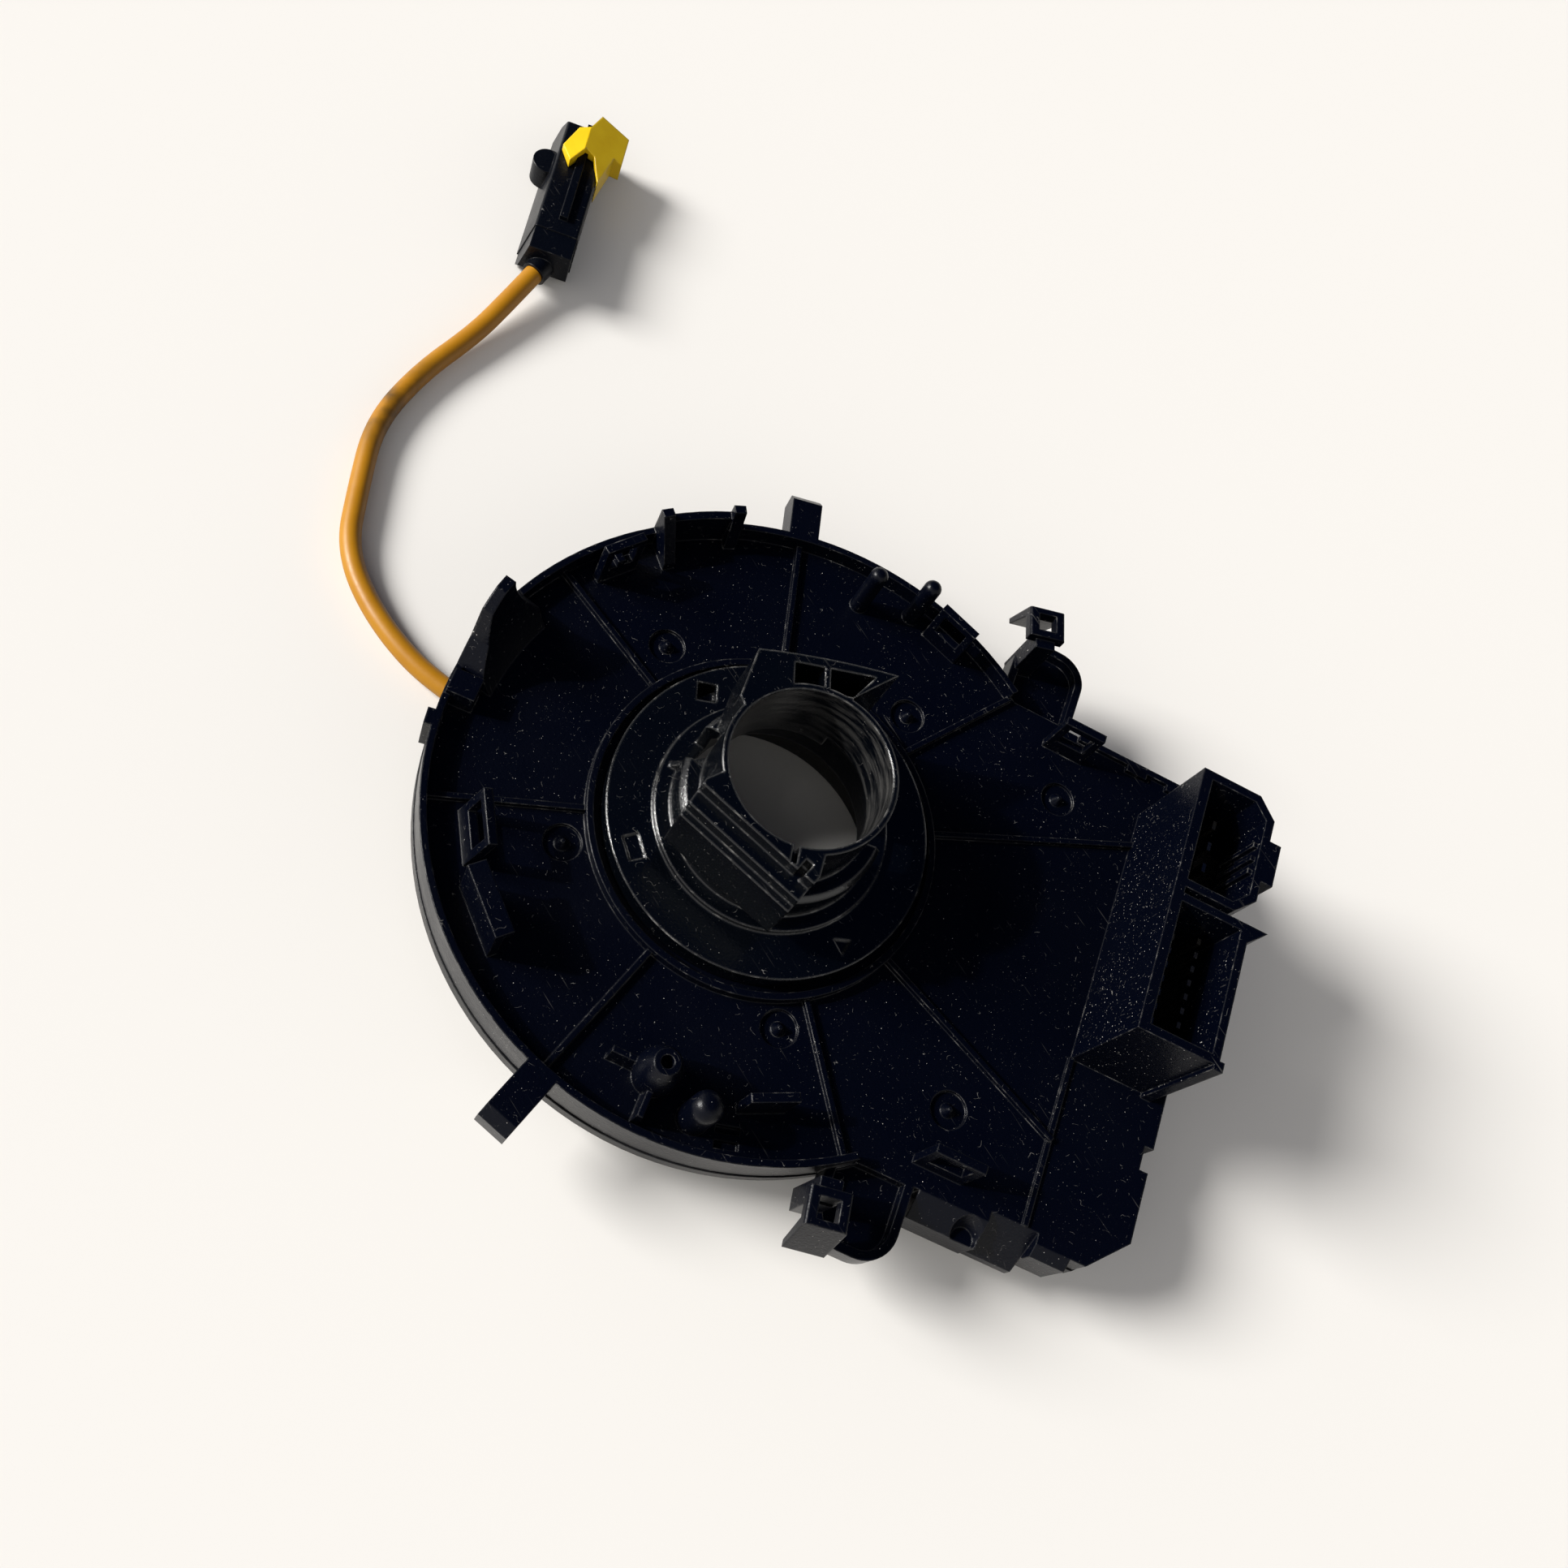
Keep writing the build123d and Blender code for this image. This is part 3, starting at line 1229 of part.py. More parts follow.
# Column-side sleeve: disc, boss, tube and lugs, with a sleeve that snaps into the rotor's drum.
sleeve_radius = drum_bore_radius - running_gap
disc_bottom = hub_top - hub_wall
boss_inside = boss_radius - boss_wall
skirt_end = plate_top + skirt_clearance
with BuildPart() as hub_sleeve:
    with BuildSketch(Plane.XZ):
        with BuildLine():
            Polyline(
                (tube_bore_radius, tube_top),
                (tube_outer_radius, tube_top),
                (tube_outer_radius, boss_top),
                (boss_radius - boss_chamfer, boss_top),
                (boss_radius, boss_top - boss_chamfer),
                (boss_radius, hub_top + step_height),
                (step_radius, hub_top + step_height),
                (step_radius, hub_top),
                (hub_disc_radius, hub_top),
                (hub_disc_radius, skirt_end),
                (hub_disc_radius - hub_wall, skirt_end),
                (hub_disc_radius - hub_wall, disc_bottom),
                (sleeve_radius, disc_bottom),
                (sleeve_radius, disc_bottom - sleeve_depth),
                (sleeve_radius - sleeve_wall, disc_bottom - sleeve_depth),
                (sleeve_radius - sleeve_wall, disc_bottom),
                (boss_inside, disc_bottom),
                (boss_inside, boss_cone_start),
                (tube_bore_radius, tube_inner_end),
                close=True,
            )
        make_face()
    revolve(axis=Axis.Z)
    add(fan_lug.part)
    add(mirror(block_lug.part, about=Plane.XZ, mode=Mode.PRIVATE))
    with BuildSketch(Plane.XY.offset(boss_cone_start)):
        Circle(tube_bore_radius)
    extrude(amount=tube_top - boss_cone_start, mode=Mode.SUBTRACT)
    for azimuth, notch_width in notch_places:
        with BuildSketch(level_plane(tube_outer_radius, azimuth, hub_top + step_height)):
            Rectangle(3 * boss_wall, notch_width, align=(Align.MIN, Align.CENTER))
            with Locations((-tube_outer_radius, 0)):
                Circle(tube_outer_radius, mode=Mode.SUBTRACT)
        extrude(amount=boss_top - hub_top - step_height, mode=Mode.SUBTRACT)
    with BuildSketch(radial_plane(gusset_azimuth, hub_top + step_height)):
        with BuildLine():
            Polyline(
                (tube_bore_radius + tube_wall / 2, 0),
                (step_radius - step_height, 0),
                (tube_bore_radius + tube_wall / 2, boss_top - hub_top - step_height),
                close=True,
            )
        make_face()
    extrude(amount=gusset_thickness / 2, both=True)
    with BuildSketch(level_plane(tube_outer_radius, -80, tube_top)):
        Rectangle(4 * tube_wall, tube_wall)
    extrude(amount=-2 * tube_wall, mode=Mode.SUBTRACT)
    with BuildSketch(Plane.XY.offset(hub_top)):
        with Locations(Location((*polar(disc_mark_radius, 139), 0), (0, 0, lug_turn))):
            Rectangle(disc_mark, disc_mark)
    extrude(amount=-hub_wall, mode=Mode.SUBTRACT)
    with BuildSketch(Plane.XY.offset(hub_top)):
        with Locations(Location((*polar(disc_mark_radius, -140), 0), (0, 0, 130))):
            Rectangle(1.3 * disc_mark, 0.8 * disc_mark)
        with Locations(Location((*polar(disc_mark_radius, -39), 0), (0, 0, 51))):
            RegularPolygon(disc_mark / 2, 3)
    extrude(amount=-mark_depth, mode=Mode.SUBTRACT)
hub_sleeve.part.label = "hub_sleeve"

os.makedirs("parts", exist_ok=True)
for piece in (
    rear_case,
    front_case,
    outer_terminal_block,
    lower_socket_pins,
    upper_socket_pins,
    shorting_clip,
    outer_ribbon_clip,
    outer_busbars,
    rear_slip_sheet,
    ribbon_cable,
    front_rotor,
    hub_sleeve,
    front_slip_sheet,
    inner_ribbon_clip,
    inner_busbars,
    wheel_socket,
    wheel_socket_pins,
    lead_boot,
    lead_terminals,
    pigtail_lead,
    connector_cover,
    airbag_connector,
    airbag_contacts,
    airbag_lock,
):
    export_step(piece.part, f"parts/{piece.part.label}.step")
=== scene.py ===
"""Steering clock spring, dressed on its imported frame: a black moulded case with a turning hub,
upright harness sockets and a yellow airbag lead that lies beside it."""

import bpy
import numpy as np
from mathutils import Matrix, Vector


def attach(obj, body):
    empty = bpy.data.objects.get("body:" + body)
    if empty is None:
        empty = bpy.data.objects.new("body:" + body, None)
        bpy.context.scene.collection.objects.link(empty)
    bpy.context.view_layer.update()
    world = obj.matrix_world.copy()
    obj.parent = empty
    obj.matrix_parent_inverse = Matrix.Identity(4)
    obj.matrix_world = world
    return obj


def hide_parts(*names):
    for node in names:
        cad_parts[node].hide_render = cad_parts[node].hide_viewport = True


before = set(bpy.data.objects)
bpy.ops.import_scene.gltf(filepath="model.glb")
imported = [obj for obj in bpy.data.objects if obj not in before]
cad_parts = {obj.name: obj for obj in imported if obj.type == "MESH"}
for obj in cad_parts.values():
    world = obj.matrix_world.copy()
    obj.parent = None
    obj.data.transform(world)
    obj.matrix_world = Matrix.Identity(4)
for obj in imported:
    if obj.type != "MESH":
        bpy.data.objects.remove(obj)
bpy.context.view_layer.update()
scene = bpy.context.scene

# Camera: held above the column side of the part, which lies upwards, and tilted a little.
# Its place and its three directions are those from which the case and hub circles look right.
camera_lens = bpy.data.cameras.new("photo_camera")
camera_lens.lens = 35.404
camera_lens.sensor_width = 36.0
camera_lens.clip_start = 0.01
camera = bpy.data.objects.new("photo_camera", camera_lens)
camera_right = (0.8899, 0.33828, 0.30601)
camera_up = (-0.43962, 0.81498, 0.37754)
camera_back = (-0.12168, -0.4705, 0.87397)
camera_place = (-0.028829, -0.105045, 0.225361)
camera_columns = zip(camera_right, camera_up, camera_back, camera_place)
camera.matrix_world = Matrix([*camera_columns, (0.0, 0.0, 0.0, 1.0)])
scene.collection.objects.link(camera)
scene.camera = camera

# Table: a plain pale floor, matt and wide enough for every view. It lies a hair's breadth under
# the part, so that the two never share a surface.
floor_reach = 2.0
floor_level = -0.0002
floor_mesh = bpy.data.meshes.new("pale_floor")
floor_mesh.from_pydata(
    [
        (-floor_reach, -floor_reach, floor_level),
        (floor_reach, -floor_reach, floor_level),
        (floor_reach, floor_reach, floor_level),
        (-floor_reach, floor_reach, floor_level),
    ],
    [],
    [(0, 1, 2, 3)],
)
floor = bpy.data.objects.new("pale_floor", floor_mesh)
scene.collection.objects.link(floor)
floor_paint = bpy.data.materials.new("pale_floor")
floor_paint.use_nodes = True
floor_skin = floor_paint.node_tree.nodes["Principled BSDF"]
floor_skin.inputs["Base Color"].default_value = (0.862, 0.840, 0.806, 1)
floor_skin.inputs["Roughness"].default_value = 0.9
floor_skin.inputs["Specular IOR Level"].default_value = 0.1
floor.data.materials.append(floor_paint)

# Light: low, from the left. The hard sun draws crisp shadows on the part and leaves out the floor.
# The soft one is as wide as a window and gives everything, the floor too, its blurred shadows.
sun_tint = (1.0, 0.985, 0.96)
for light_name, light_travel, light_power, light_angle in (
    ("hard_sun", (0.8175, 0.2001, -0.574), 3.2, 1.8),
    ("soft_window", (0.8540, 0.0640, -0.515), 4.7, 24.0),
):
    key_light = bpy.data.lights.new(light_name, "SUN")
    key_light.energy = light_power
    key_light.angle = np.radians(light_angle)
    key_light.color = sun_tint
    key = bpy.data.objects.new(light_name, key_light)
    key.rotation_euler = Vector(light_travel).to_track_quat("-Z", "Y").to_euler()
    scene.collection.objects.link(key)
shaded = bpy.data.collections.new("without_hard_sun")
shaded.objects.link(floor)
bpy.data.objects["hard_sun"].light_linking.receiver_collection = shaded
shaded.collection_objects[0].light_linking.link_state = "EXCLUDE"

# Room: bright all round, and dark blue only about the one direction that the flat plate mirrors
# towards the camera, so that the plate stays nearly black.
mirrored_way = (0.1214, 0.4694, 0.8746)
bright_until, dark_from = 0.48, 0.74
room_shade = (0.004, 0.010, 0.04)
room = bpy.data.worlds.new("room")
room.use_nodes = True
scene.world = room
room_tree = room.node_tree
room_glow = room_tree.nodes["Background"]
room_place = room_tree.nodes.new("ShaderNodeTexCoord")
room_side = room_tree.nodes.new("ShaderNodeVectorMath")
room_side.operation = "DOT_PRODUCT"
room_side.inputs[1].default_value = mirrored_way
room_fade = room_tree.nodes.new("ShaderNodeValToRGB")
for stop, stop_place, stop_colour in zip(
    room_fade.color_ramp.elements, (bright_until, dark_from), (sun_tint, room_shade)
):
    stop.position = stop_place
    stop.color = (*stop_colour, 1)
room_tree.links.new(room_place.outputs["Generated"], room_side.inputs[0])
room_tree.links.new(room_side.outputs["Value"], room_fade.inputs["Fac"])
room_tree.links.new(room_fade.outputs["Color"], room_glow.inputs["Color"])
room_glow.inputs["Strength"].default_value = 0.79
scene.view_settings.view_transform = "Standard"


# Airbag lead: two wires in a soft yellow sleeve. It leaves the rotor under the case, lies along
# the floor in one loose bend, and rises a little where it enters the connector.
lead_radius = 0.00175
lead_route = (
    (-0.0410, 0.0021, 0.0018),
    (-0.0545, 0.0032, 0.0018),
    (-0.0675, 0.0089, 0.0018),
    (-0.0776, 0.0178, 0.0018),
    (-0.0814, 0.0296, 0.0018),
    (-0.0849, 0.0423, 0.0018),
    (-0.0832, 0.0556, 0.0018),
    (-0.0789, 0.0682, 0.0022),
    (-0.0770, 0.0766, 0.0032),
    (-0.0754, 0.0846, 0.0042),
)
sleeve_orange = (0.235, 0.095, 0.002, 1)
sleeve_amber = (0.32, 0.145, 0.003, 1)
sleeve_grime = (0.045, 0.022, 0.004, 1)
grimy_spot_mm = (-83.4, 47.0, 2.0)
grimy_core_mm, grimy_reach_mm = 1.0, 13.0
ripple_depth = 0.0004
mm_in_metre = 1000.0


def finish(name):
    """New material; gives it back with its node tree and its shader."""
    material = bpy.data.materials.new(name)
    material.use_nodes = True
    return material, material.node_tree, material.node_tree.nodes["Principled BSDF"]


def graph_node(tree, kind, feeds=None, **settings):
    """Adds a shader node; feeds maps its sockets to plain values or to outputs that feed them."""
    made = tree.nodes.new(kind)
    for name, value in settings.items():
        setattr(made, name, value)
    for socket, value in (feeds or {}).items():
        if isinstance(value, bpy.types.NodeSocket):
            tree.links.new(value, made.inputs[socket])
        else:
            made.inputs[socket].default_value = value
    return made


def sums(tree, operation, first, second=0.0, third=0.0, clamp=False):
    """One Math node on up to three values or outputs."""
    made = graph_node(
        tree, "ShaderNodeMath", {0: first, 1: second, 2: third}, operation=operation
    )
    made.use_clamp = clamp
    return made.outputs[0]


def place_mm(tree, stretch=1.0):
    """Object coordinates in millimetres, times a stretch for each axis or for all three."""
    place = graph_node(tree, "ShaderNodeTexCoord")
    per_metre = tuple(mm_in_metre * np.multiply(stretch, np.ones(3)))
    return graph_node(
        tree,
        "ShaderNodeVectorMath",
        {0: place.outputs["Object"], 1: per_metre},
        operation="MULTIPLY",
    ).outputs[0]


def noise(tree, place, scale, detail, roughness=0.5):
    """Cloudy value from 0 to 1; scale is in waves for each unit of place."""
    feeds = {"Vector": place, "Scale": scale, "Detail": detail, "Roughness": roughness}
    return graph_node(tree, "ShaderNodeTexNoise", feeds).outputs["Fac"]


def colour_between(tree, share, first, second):
    """First colour where share is 0, second where it is 1."""
    feeds = {0: share, 6: first, 7: second}
    return graph_node(tree, "ShaderNodeMix", feeds, data_type="RGBA").outputs[2]


def paint(tree, skin, share, first, second):
    """Base colour that goes from the first to the second with share."""
    tree.links.new(colour_between(tree, share, first, second), skin.inputs["Base Color"])


def dull(tree, skin, share, base, drift):
    """Roughness of base plus drift times share."""
    tree.links.new(sums(tree, "MULTIPLY_ADD", share, drift, base), skin.inputs["Roughness"])


lead_sleeve, tree, skin = finish("lead_sleeve")
place = place_mm(tree)
mottle = noise(tree, place, 0.16, 3.0)
fine = noise(tree, place, 1.6, 4.0)
grime_reach = graph_node(
    tree, "ShaderNodeVectorMath", {0: place, 1: grimy_spot_mm}, operation="DISTANCE"
)
grime = graph_node(
    tree,
    "ShaderNodeMapRange",
    {
        "Value": grime_reach.outputs["Value"],
        "From Min": grimy_reach_mm,
        "From Max": grimy_core_mm,
    },
)
blots = sums(tree, "MULTIPLY_ADD", sums(tree, "SUBTRACT", mottle, 0.5), 5.0, 0.75, clamp=True)
grime = sums(tree, "MULTIPLY", grime.outputs[0], blots)
clean = colour_between(tree, mottle, sleeve_orange, sleeve_amber)
paint(tree, skin, grime, clean, sleeve_grime)
dull(tree, skin, fine, base=0.34, drift=0.22)
ripple = graph_node(
    tree, "ShaderNodeBump", {"Height": mottle, "Strength": 0.25, "Distance": ripple_depth}
)
tree.links.new(ripple.outputs[0], skin.inputs["Normal"])
skin.inputs["Specular IOR Level"].default_value = 0.3

lead_line = bpy.data.curves.new("airbag_lead", "CURVE")
lead_line.dimensions = "3D"
lead_spline = lead_line.splines.new("NURBS")
lead_spline.points.add(len(lead_route) - 1)
for spline_point, route_point in zip(lead_spline.points, lead_route):
    spline_point.co = (*route_point, 1.0)
lead_spline.order_u = 3
lead_spline.use_endpoint_u = True
lead_line.resolution_u = 20
lead_line.bevel_depth = lead_radius
lead_line.bevel_resolution = 8
lead_line.use_fill_caps = True
lead_line.materials.append(lead_sleeve)
lead = bpy.data.objects.new("airbag_lead", lead_line)
scene.collection.objects.link(lead)
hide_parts("pigtail_lead")
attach(lead, "rotor")


# Stator case: two black mouldings with a fine grained skin, snapped together round the ribbon.
# Handling has left pale specks, hair scratches, rubbed rims and polished edges on them, and the
# edges and a fine powder of specks also carry painted highlights. Each such mark is a node group
# that puts out a mask, and the plastic below adds the masks up.
def effect_group(name, inputs, outputs):
    """Empty node group with named float sockets; gives back its tree, input and output nodes."""
    tree = bpy.data.node_groups.new(name, "ShaderNodeTree")
    for label, value in inputs:
        socket = tree.interface.new_socket(
            label, in_out="INPUT", socket_type="NodeSocketFloat"
        )
        socket.default_value = value
    for label in outputs:
        tree.interface.new_socket(label, in_out="OUTPUT", socket_type="NodeSocketFloat")
    return tree, tree.nodes.new("NodeGroupInput"), tree.nodes.new("NodeGroupOutput")


def upright_walls(tree, steepest=0.5):
    """1 where the normal's height, up or down, is under steepest, and 0 on what lies flatter."""
    facing = graph_node(tree, "ShaderNodeNewGeometry")
    facing = graph_node(tree, "ShaderNodeSeparateXYZ", {0: facing.outputs["Normal"]})
    return sums(tree, "LESS_THAN", sums(tree, "ABSOLUTE", facing.outputs["Z"]), steepest)


# Moulded grain: a fine ripple for the height, and a broad one that makes the gloss uneven.
moulded_grain, given, result = effect_group(
    "moulded_grain", [("Size", 1.9)], ["Height", "Unevenness"]
)
place = place_mm(moulded_grain)
moulded_grain.links.new(
    noise(moulded_grain, place, given.outputs["Size"], 2.0, 0.6), result.inputs["Height"]
)
moulded_grain.links.new(noise(moulded_grain, place, 0.07, 4.0), result.inputs["Unevenness"])

# Dust specks: one round speck in each cell of the spacing, of a size and paleness drawn by the
# cell, kept where a drifting noise is under the amount. Spacing and size are in millimetres.
speck_blur = 0.05
dust_specks, given, result = effect_group(
    "dust_specks", [("Spacing", 0.6), ("Size", 0.085), ("Amount", 0.5)], ["Mask"]
)
place = place_mm(dust_specks)
cells = graph_node(
    dust_specks,
    "ShaderNodeTexVoronoi",
    {
        "Vector": place,
        "Scale": sums(dust_specks, "DIVIDE", 1.0, given.outputs["Spacing"]),
        "Randomness": 1.0,
    },
)
gap = sums(dust_specks, "MULTIPLY", cells.outputs["Distance"], given.outputs["Spacing"])
chance = graph_node(dust_specks, "ShaderNodeSeparateXYZ", {0: cells.outputs["Color"]})
spot = sums(dust_specks, "MULTIPLY", given.outputs["Size"], chance.outputs["X"])
spot = sums(dust_specks, "SUBTRACT", spot, gap)
spot = sums(dust_specks, "DIVIDE", spot, speck_blur, clamp=True)
paleness = sums(dust_specks, "POWER", chance.outputs["Y"], 2.0)
spot = sums(dust_specks, "MULTIPLY", spot, paleness)
drift = noise(dust_specks, place, 0.09, 3.0)
here = sums(dust_specks, "SUBTRACT", given.outputs["Amount"], drift)
here = sums(dust_specks, "MULTIPLY_ADD", here, 5.0, 0.5, clamp=True)
dust_specks.links.new(sums(dust_specks, "MULTIPLY", spot, here), result.inputs["Mask"])

# Lint marks: short curled lines, which are stretches of a noise's middle contour, kept only where
# a second noise peaks. The sharpness makes the contour thin.
contour_sharpness = 170.0
lint_marks, given, result = effect_group("lint_marks", [("Amount", 0.5)], ["Mask"])
place = place_mm(lint_marks)
curl = noise(lint_marks, place, 0.55, 1.0)
curl = sums(lint_marks, "ABSOLUTE", sums(lint_marks, "SUBTRACT", curl, 0.5))
curl = sums(lint_marks, "MULTIPLY_ADD", curl, -contour_sharpness, 1.0, clamp=True)
stretch = sums(lint_marks, "SUBTRACT", noise(lint_marks, place, 0.8, 1.0), 0.62)
stretch = sums(lint_marks, "MULTIPLY", stretch, 14.0, clamp=True)
curl = sums(lint_marks, "MULTIPLY", curl, stretch)
lint_marks.links.new(
    sums(lint_marks, "MULTIPLY", curl, given.outputs["Amount"]), result.inputs["Mask"]
)

# Band wear and light: pale streaks on upright walls between two radii, in millimetres. On the case
# rims they are rubbed skin; inside the sleeve's tube they are painted patches of light. Its
# streaks
# run round the axis: they are noise on the wall unrolled, which is angle times radius, and height.
waves_round, waves_up = 0.12, 0.6
band_wear_and_light, given, result = effect_group(
    "band_wear_and_light", [("Inner", 0.0), ("Outer", 1.0), ("Amount", 0.0)], ["Mask"]
)
axes = graph_node(band_wear_and_light, "ShaderNodeSeparateXYZ", {0: place_mm(band_wear_and_light)})
radius = sums(band_wear_and_light, "MULTIPLY", axes.outputs["X"], axes.outputs["X"])
radius = sums(band_wear_and_light, "MULTIPLY_ADD", axes.outputs["Y"], axes.outputs["Y"], radius)
radius = sums(band_wear_and_light, "SQRT", radius)
within = sums(band_wear_and_light, "LESS_THAN", radius, given.outputs["Outer"])
within = sums(band_wear_and_light, "MULTIPLY", within, upright_walls(band_wear_and_light))
beyond = sums(band_wear_and_light, "GREATER_THAN", radius, given.outputs["Inner"])
within = sums(band_wear_and_light, "MULTIPLY", beyond, within)
angle = sums(band_wear_and_light, "ARCTAN2", axes.outputs["Y"], axes.outputs["X"])
round_way = sums(band_wear_and_light, "MULTIPLY", angle, radius)
unrolled = graph_node(
    band_wear_and_light,
    "ShaderNodeCombineXYZ",
    {
        0: sums(band_wear_and_light, "MULTIPLY", round_way, waves_round),
        1: sums(band_wear_and_light, "MULTIPLY", axes.outputs["Z"], waves_up),
    },
)
streaks = noise(band_wear_and_light, unrolled.outputs[0], 1.0, 6.0, 0.62)
streaks = sums(band_wear_and_light, "SUBTRACT", streaks, 0.48)
streaks = sums(band_wear_and_light, "MULTIPLY_ADD", streaks, 2.6, 0.1, clamp=True)
streaks = sums(band_wear_and_light, "MULTIPLY", streaks, within)
band_wear_and_light.links.new(
    sums(band_wear_and_light, "MULTIPLY", streaks, given.outputs["Amount"]), result.inputs["Mask"]
)

# Hair scratches: peaks of a noise that is drawn out along one heading, in loose patches.
waves_along_across = (0.11, 3.2, 0.4)
hair_scratches, given, result = effect_group(
    "hair_scratches", [("Heading", 0.6), ("Amount", 0.5)], ["Mask"]
)
place = place_mm(hair_scratches)
turned = graph_node(
    hair_scratches,
    "ShaderNodeVectorRotate",
    {"Vector": place, "Angle": given.outputs["Heading"]},
    rotation_type="Z_AXIS",
)
drawn_out = graph_node(
    hair_scratches,
    "ShaderNodeVectorMath",
    {0: turned.outputs[0], 1: waves_along_across},
    operation="MULTIPLY",
)
lines = noise(hair_scratches, drawn_out.outputs[0], 1.0, 1.0)
lines = sums(hair_scratches, "SUBTRACT", lines, 0.70)
lines = sums(hair_scratches, "MULTIPLY", lines, 18.0, clamp=True)
patches = sums(hair_scratches, "SUBTRACT", noise(hair_scratches, place, 0.12, 2.0), 0.5)
patches = sums(hair_scratches, "MULTIPLY", patches, 6.0, clamp=True)
lines = sums(hair_scratches, "MULTIPLY", lines, patches)
hair_scratches.links.new(
    sums(hair_scratches, "MULTIPLY", lines, given.outputs["Amount"]), result.inputs["Mask"]
)

# Polished edge and glint: a rounded normal for edges of a width in millimetres, and a mask where
# it leans away from the flat one, broken up by chips. Where there is no chip, a little of the mask
# stays.
# The plastic pales its edges with this mask: partly wear, partly a painted highlight.
least_lean, least_chip = 0.12, 0.06
polished_edge_and_glint, given, result = effect_group(
    "polished_edge_and_glint", [("Width", 0.3), ("Strength", 1.0)], ["Mask"]
)
polished_edge_and_glint.interface.new_socket(
    "Normal", in_out="OUTPUT", socket_type="NodeSocketVector"
)
edge_radius = sums(polished_edge_and_glint, "MULTIPLY", given.outputs["Width"], 1 / mm_in_metre)
rounded = graph_node(polished_edge_and_glint, "ShaderNodeBevel", {"Radius": edge_radius}, samples=6)
flat = graph_node(polished_edge_and_glint, "ShaderNodeNewGeometry")
agree = graph_node(
    polished_edge_and_glint,
    "ShaderNodeVectorMath",
    {0: rounded.outputs[0], 1: flat.outputs["Normal"]},
    operation="DOT_PRODUCT",
)
bend = sums(polished_edge_and_glint, "SUBTRACT", 1.0, agree.outputs["Value"])
bend = sums(polished_edge_and_glint, "SUBTRACT", bend, least_lean)
bend = sums(polished_edge_and_glint, "MULTIPLY", bend, 8.0, clamp=True)
chips = noise(polished_edge_and_glint, place_mm(polished_edge_and_glint), 0.5, 3.0)
chips = sums(polished_edge_and_glint, "SUBTRACT", chips, 0.5)
chips = sums(polished_edge_and_glint, "MULTIPLY_ADD", chips, 6.0, -0.2, clamp=True)
chips = sums(polished_edge_and_glint, "MAXIMUM", chips, least_chip)
bend = sums(polished_edge_and_glint, "MULTIPLY", bend, chips)
polished_edge_and_glint.links.new(
    sums(polished_edge_and_glint, "MULTIPLY", bend, given.outputs["Strength"], clamp=True),
    result.inputs["Mask"],
)
polished_edge_and_glint.links.new(rounded.outputs[0], result.inputs["Normal"])

# Pale colour for dust and wear marks, also used for painted highlights and painted light.
dust_and_light_tint = (0.62, 0.60, 0.56, 1)
powder_glint_spacing, powder_glint_size = 0.3, 0.06
flat_speck = 0.085
grain_depth = 0.0001
gloss_drift = 0.22


def moulded_plastic(
    name,
    tint,
    roughness,
    dust=0.45,
    scratch=0.5,
    edge=0.5,
    round_mm=0.3,
    grain=0.5,
    shine=0.3,
    band=(0.0, 1.0, 0.0),
    wall_speck=flat_speck,
):
    """Black plastic, its tint lifted to a pale colour by the weighted sum of masks of dust, wear,
    painted highlights and painted light.

    Dust, scratch and edge are amounts; band is an inner radius, an outer radius and an amount;
    wall_speck is the size of specks on upright walls."""
    material, tree, skin = finish(name)

    def effect(group, **feeds):
        """Places a node group in this material with its own values."""
        return graph_node(tree, "ShaderNodeGroup", feeds, node_tree=group)

    grained = effect(moulded_grain)
    speck = sums(
        tree, "MULTIPLY_ADD", upright_walls(tree), wall_speck - flat_speck, flat_speck
    )
    dusted = effect(dust_specks, Size=speck, Amount=dust)
    # A finer powder of pale specks: partly dust, partly painted glints of the grained skin.
    powder_and_glints = effect(dust_specks, Spacing=powder_glint_spacing, Size=powder_glint_size, Amount=dust)
    linted = effect(lint_marks, Amount=dust)
    scratched = effect(hair_scratches, Amount=scratch)
    edged = effect(polished_edge_and_glint, Strength=edge, Width=round_mm)
    rubbed_and_lit = effect(band_wear_and_light, **dict(zip(("Inner", "Outer", "Amount"), band)))
    lift = dusted.outputs["Mask"]
    # The edge mask pales the edges for wear and also as a painted highlight.
    for marks, weight in ((powder_and_glints, 0.22), (linted, 0.35), (scratched, 0.08), (edged, 0.25)):
        lift = sums(tree, "MULTIPLY_ADD", marks.outputs["Mask"], weight, lift)
    # On the sleeve the band mask adds painted patches of light inside the tube.
    lift = sums(tree, "ADD", rubbed_and_lit.outputs["Mask"], lift, clamp=True)
    paint(tree, skin, lift, (*tint, 1), dust_and_light_tint)
    spread = sums(
        tree,
        "MULTIPLY_ADD",
        grained.outputs["Unevenness"],
        gloss_drift,
        roughness - gloss_drift / 2,
    )
    dull(tree, skin, edged.outputs["Mask"], base=spread, drift=-0.10)
    relief = graph_node(
        tree,
        "ShaderNodeBump",
        {
            "Height": grained.outputs["Height"],
            "Normal": edged.outputs["Normal"],
            "Strength": grain,
            "Distance": grain_depth,
        },
    )
    tree.links.new(relief.outputs[0], skin.inputs["Normal"])
    skin.inputs["Specular IOR Level"].default_value = shine
    return material


def dress(material, *node_names):
    """Gives each named piece of the frame this one material."""
    for name in node_names:
        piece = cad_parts[name]
        piece.data.materials.clear()
        piece.data.materials.append(material)


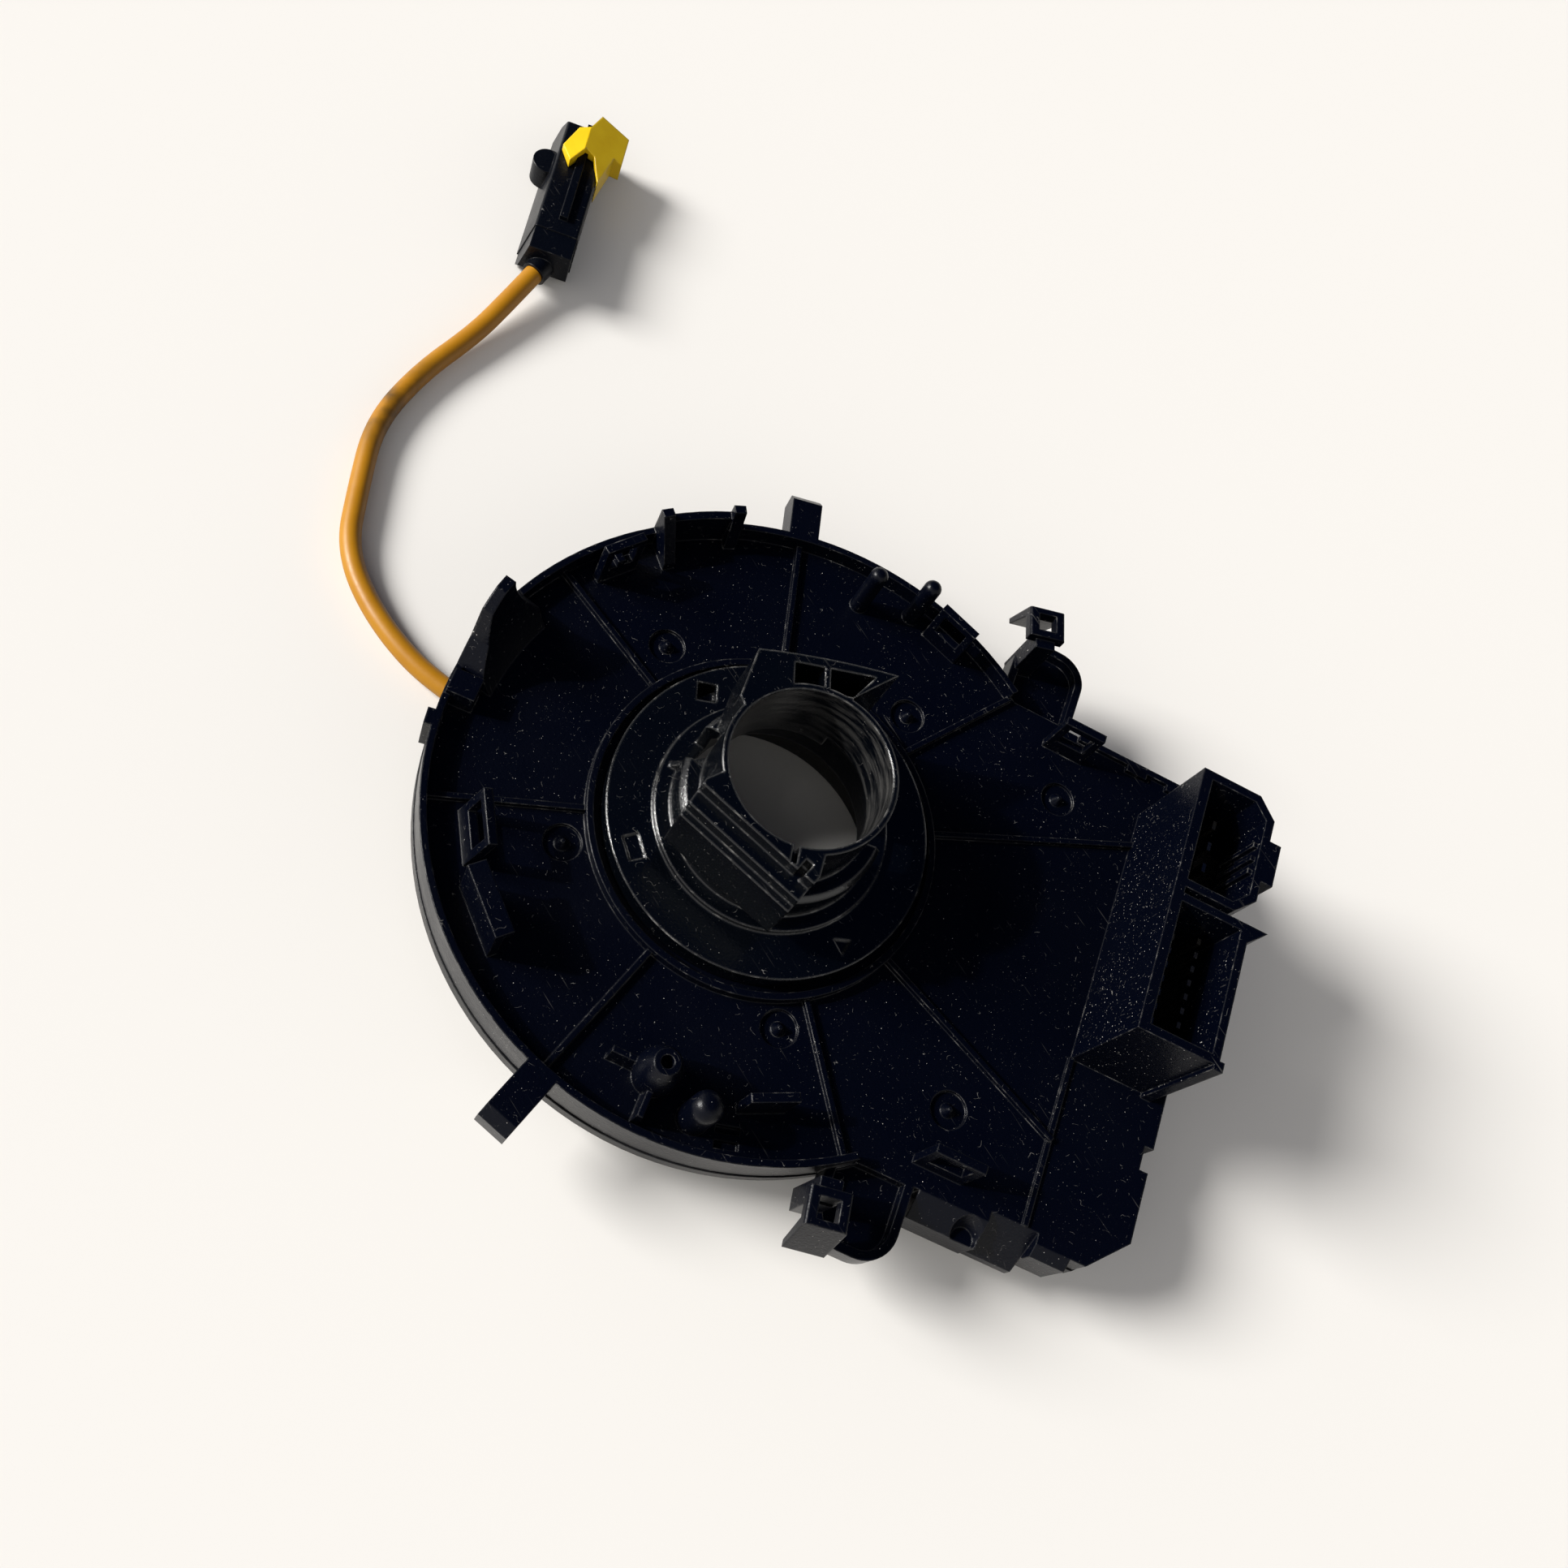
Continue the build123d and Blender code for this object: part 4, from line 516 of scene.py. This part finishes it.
case_black = moulded_plastic(
    "case_plastic",
    (0.0002, 0.0006, 0.0027),
    0.31,
    dust=0.58,
    edge=0.8,
    round_mm=0.4,
    shine=0.15,
    band=(51.6, 52.6, 0.05),
    wall_speck=0.11,
)
dress(case_black, "rear_case")
front_black = moulded_plastic(
    "front_case_plastic",
    (0.0012, 0.0014, 0.0022),
    0.42,
    scratch=0.9,
    edge=0.6,
    band=(51.0, 52.6, 0.04),
)
dress(front_black, "front_case")

# Rotor: a disc on the wheel side and a hub sleeve that snaps into it from the column side. Both
# are the same black plastic, but smoother. Inside the sleeve's tube, streaks of painted light
# stand for the light that falls in.
sleeve_black = moulded_plastic(
    "sleeve_plastic",
    (0.0004, 0.0008, 0.0017),
    0.18,
    dust=0.62,
    edge=1.0,
    round_mm=0.7,
    shine=0.65,
    # Band: painted patches of light on the inside wall of the tube.
    band=(0.0, 12.6, 0.10),
)
dress(sleeve_black, "hub_sleeve")
rotor_black = moulded_plastic(
    "rotor_plastic", (0.0012, 0.0014, 0.0022), 0.34, scratch=0.8, edge=0.7, shine=0.4
)
dress(rotor_black, "front_rotor")

# Inner carriers: the blocks and clips that hold the metal strips and the ribbon's two ends, and
# the lead's strain relief. They are duller black mouldings, pressed or clipped into the cases.
insert_black = moulded_plastic(
    "insert_plastic", (0.0010, 0.0012, 0.0018), 0.5, dust=0.3, scratch=0.2, shine=0.2
)
dress(
    insert_black,
    "outer_terminal_block",
    "wheel_socket",
    "outer_ribbon_clip",
    "inner_ribbon_clip",
    "lead_boot",
)

# Terminals: strips, blades and crimps stamped from tinned copper, pressed into their carriers.
# Fine lines run along the sheet that they were cut from, under a soft grey lustre.
dull_tin = (0.20, 0.185, 0.16, 1)
bright_tin = (0.34, 0.32, 0.28, 1)
rolling_waves = (6.0, 6.0, 0.4)
tinned, tree, skin = finish("terminal_metal")
drawn = noise(tree, place_mm(tree, rolling_waves), 1.0, 3.0)
paint(tree, skin, drawn, dull_tin, bright_tin)
dull(tree, skin, drawn, base=0.2, drift=0.2)
skin.inputs["Metallic"].default_value = 1.0
dress(
    tinned,
    "lower_socket_pins",
    "upper_socket_pins",
    "shorting_clip",
    "outer_busbars",
    "inner_busbars",
    "wheel_socket_pins",
    "lead_terminals",
    "airbag_contacts",
)

# Slip sheets: two flat rings cut from a thin milky film, laid loose above and below the ribbon
# so that it winds without noise.
milky_shade = (0.62, 0.61, 0.56, 1)
milky_white = (0.76, 0.75, 0.70, 1)
sheet_film, tree, skin = finish("sheet_plastic")
cloud = noise(tree, place_mm(tree), 0.1, 4.0)
paint(tree, skin, cloud, milky_shade, milky_white)
dull(tree, skin, cloud, base=0.25, drift=0.2)
dress(sheet_film, "front_slip_sheet", "rear_slip_sheet")

# Ribbon cable: copper tracks between two amber films, wound on edge and clipped at both ends.
# The tracks are a sine of the height, squared off by the clamp.
film_amber = (0.55, 0.26, 0.05, 1)
track_copper = (0.62, 0.40, 0.14, 1)
radians_per_mm = 7.0
ribbon_film, tree, skin = finish("ribbon_film")
height = graph_node(tree, "ShaderNodeSeparateXYZ", {0: place_mm(tree)})
track = sums(tree, "SINE", sums(tree, "MULTIPLY", height.outputs["Z"], radians_per_mm))
track = sums(tree, "MULTIPLY_ADD", track, 3.0, 0.5, clamp=True)
paint(tree, skin, track, film_amber, track_copper)
dull(tree, skin, track, base=0.34, drift=-0.1)
dress(ribbon_film, "ribbon_cable")

# Airbag connector: a black housing closed by a backshell behind the wires. A bright yellow slide
# of the same hard plastic locks it once it is plugged in.
connector_black = moulded_plastic(
    "connector_plastic", (0.0004, 0.0009, 0.0026), 0.34, dust=0.4, edge=0.7, shine=0.15
)
dress(connector_black, "airbag_connector", "connector_cover")
deep_yellow = (0.47, 0.29, 0.002, 1)
bright_yellow = (0.60, 0.41, 0.004, 1)
lock_yellow, tree, skin = finish("lock_plastic")
drift = noise(tree, place_mm(tree), 0.3, 3.0)
paint(tree, skin, drift, deep_yellow, bright_yellow)
edged = graph_node(tree, "ShaderNodeGroup", {"Width": 0.35}, node_tree=polished_edge_and_glint)
tree.links.new(edged.outputs["Normal"], skin.inputs["Normal"])
dull(tree, skin, drift, base=0.26, drift=0.15)
dress(lock_yellow, "airbag_lock")
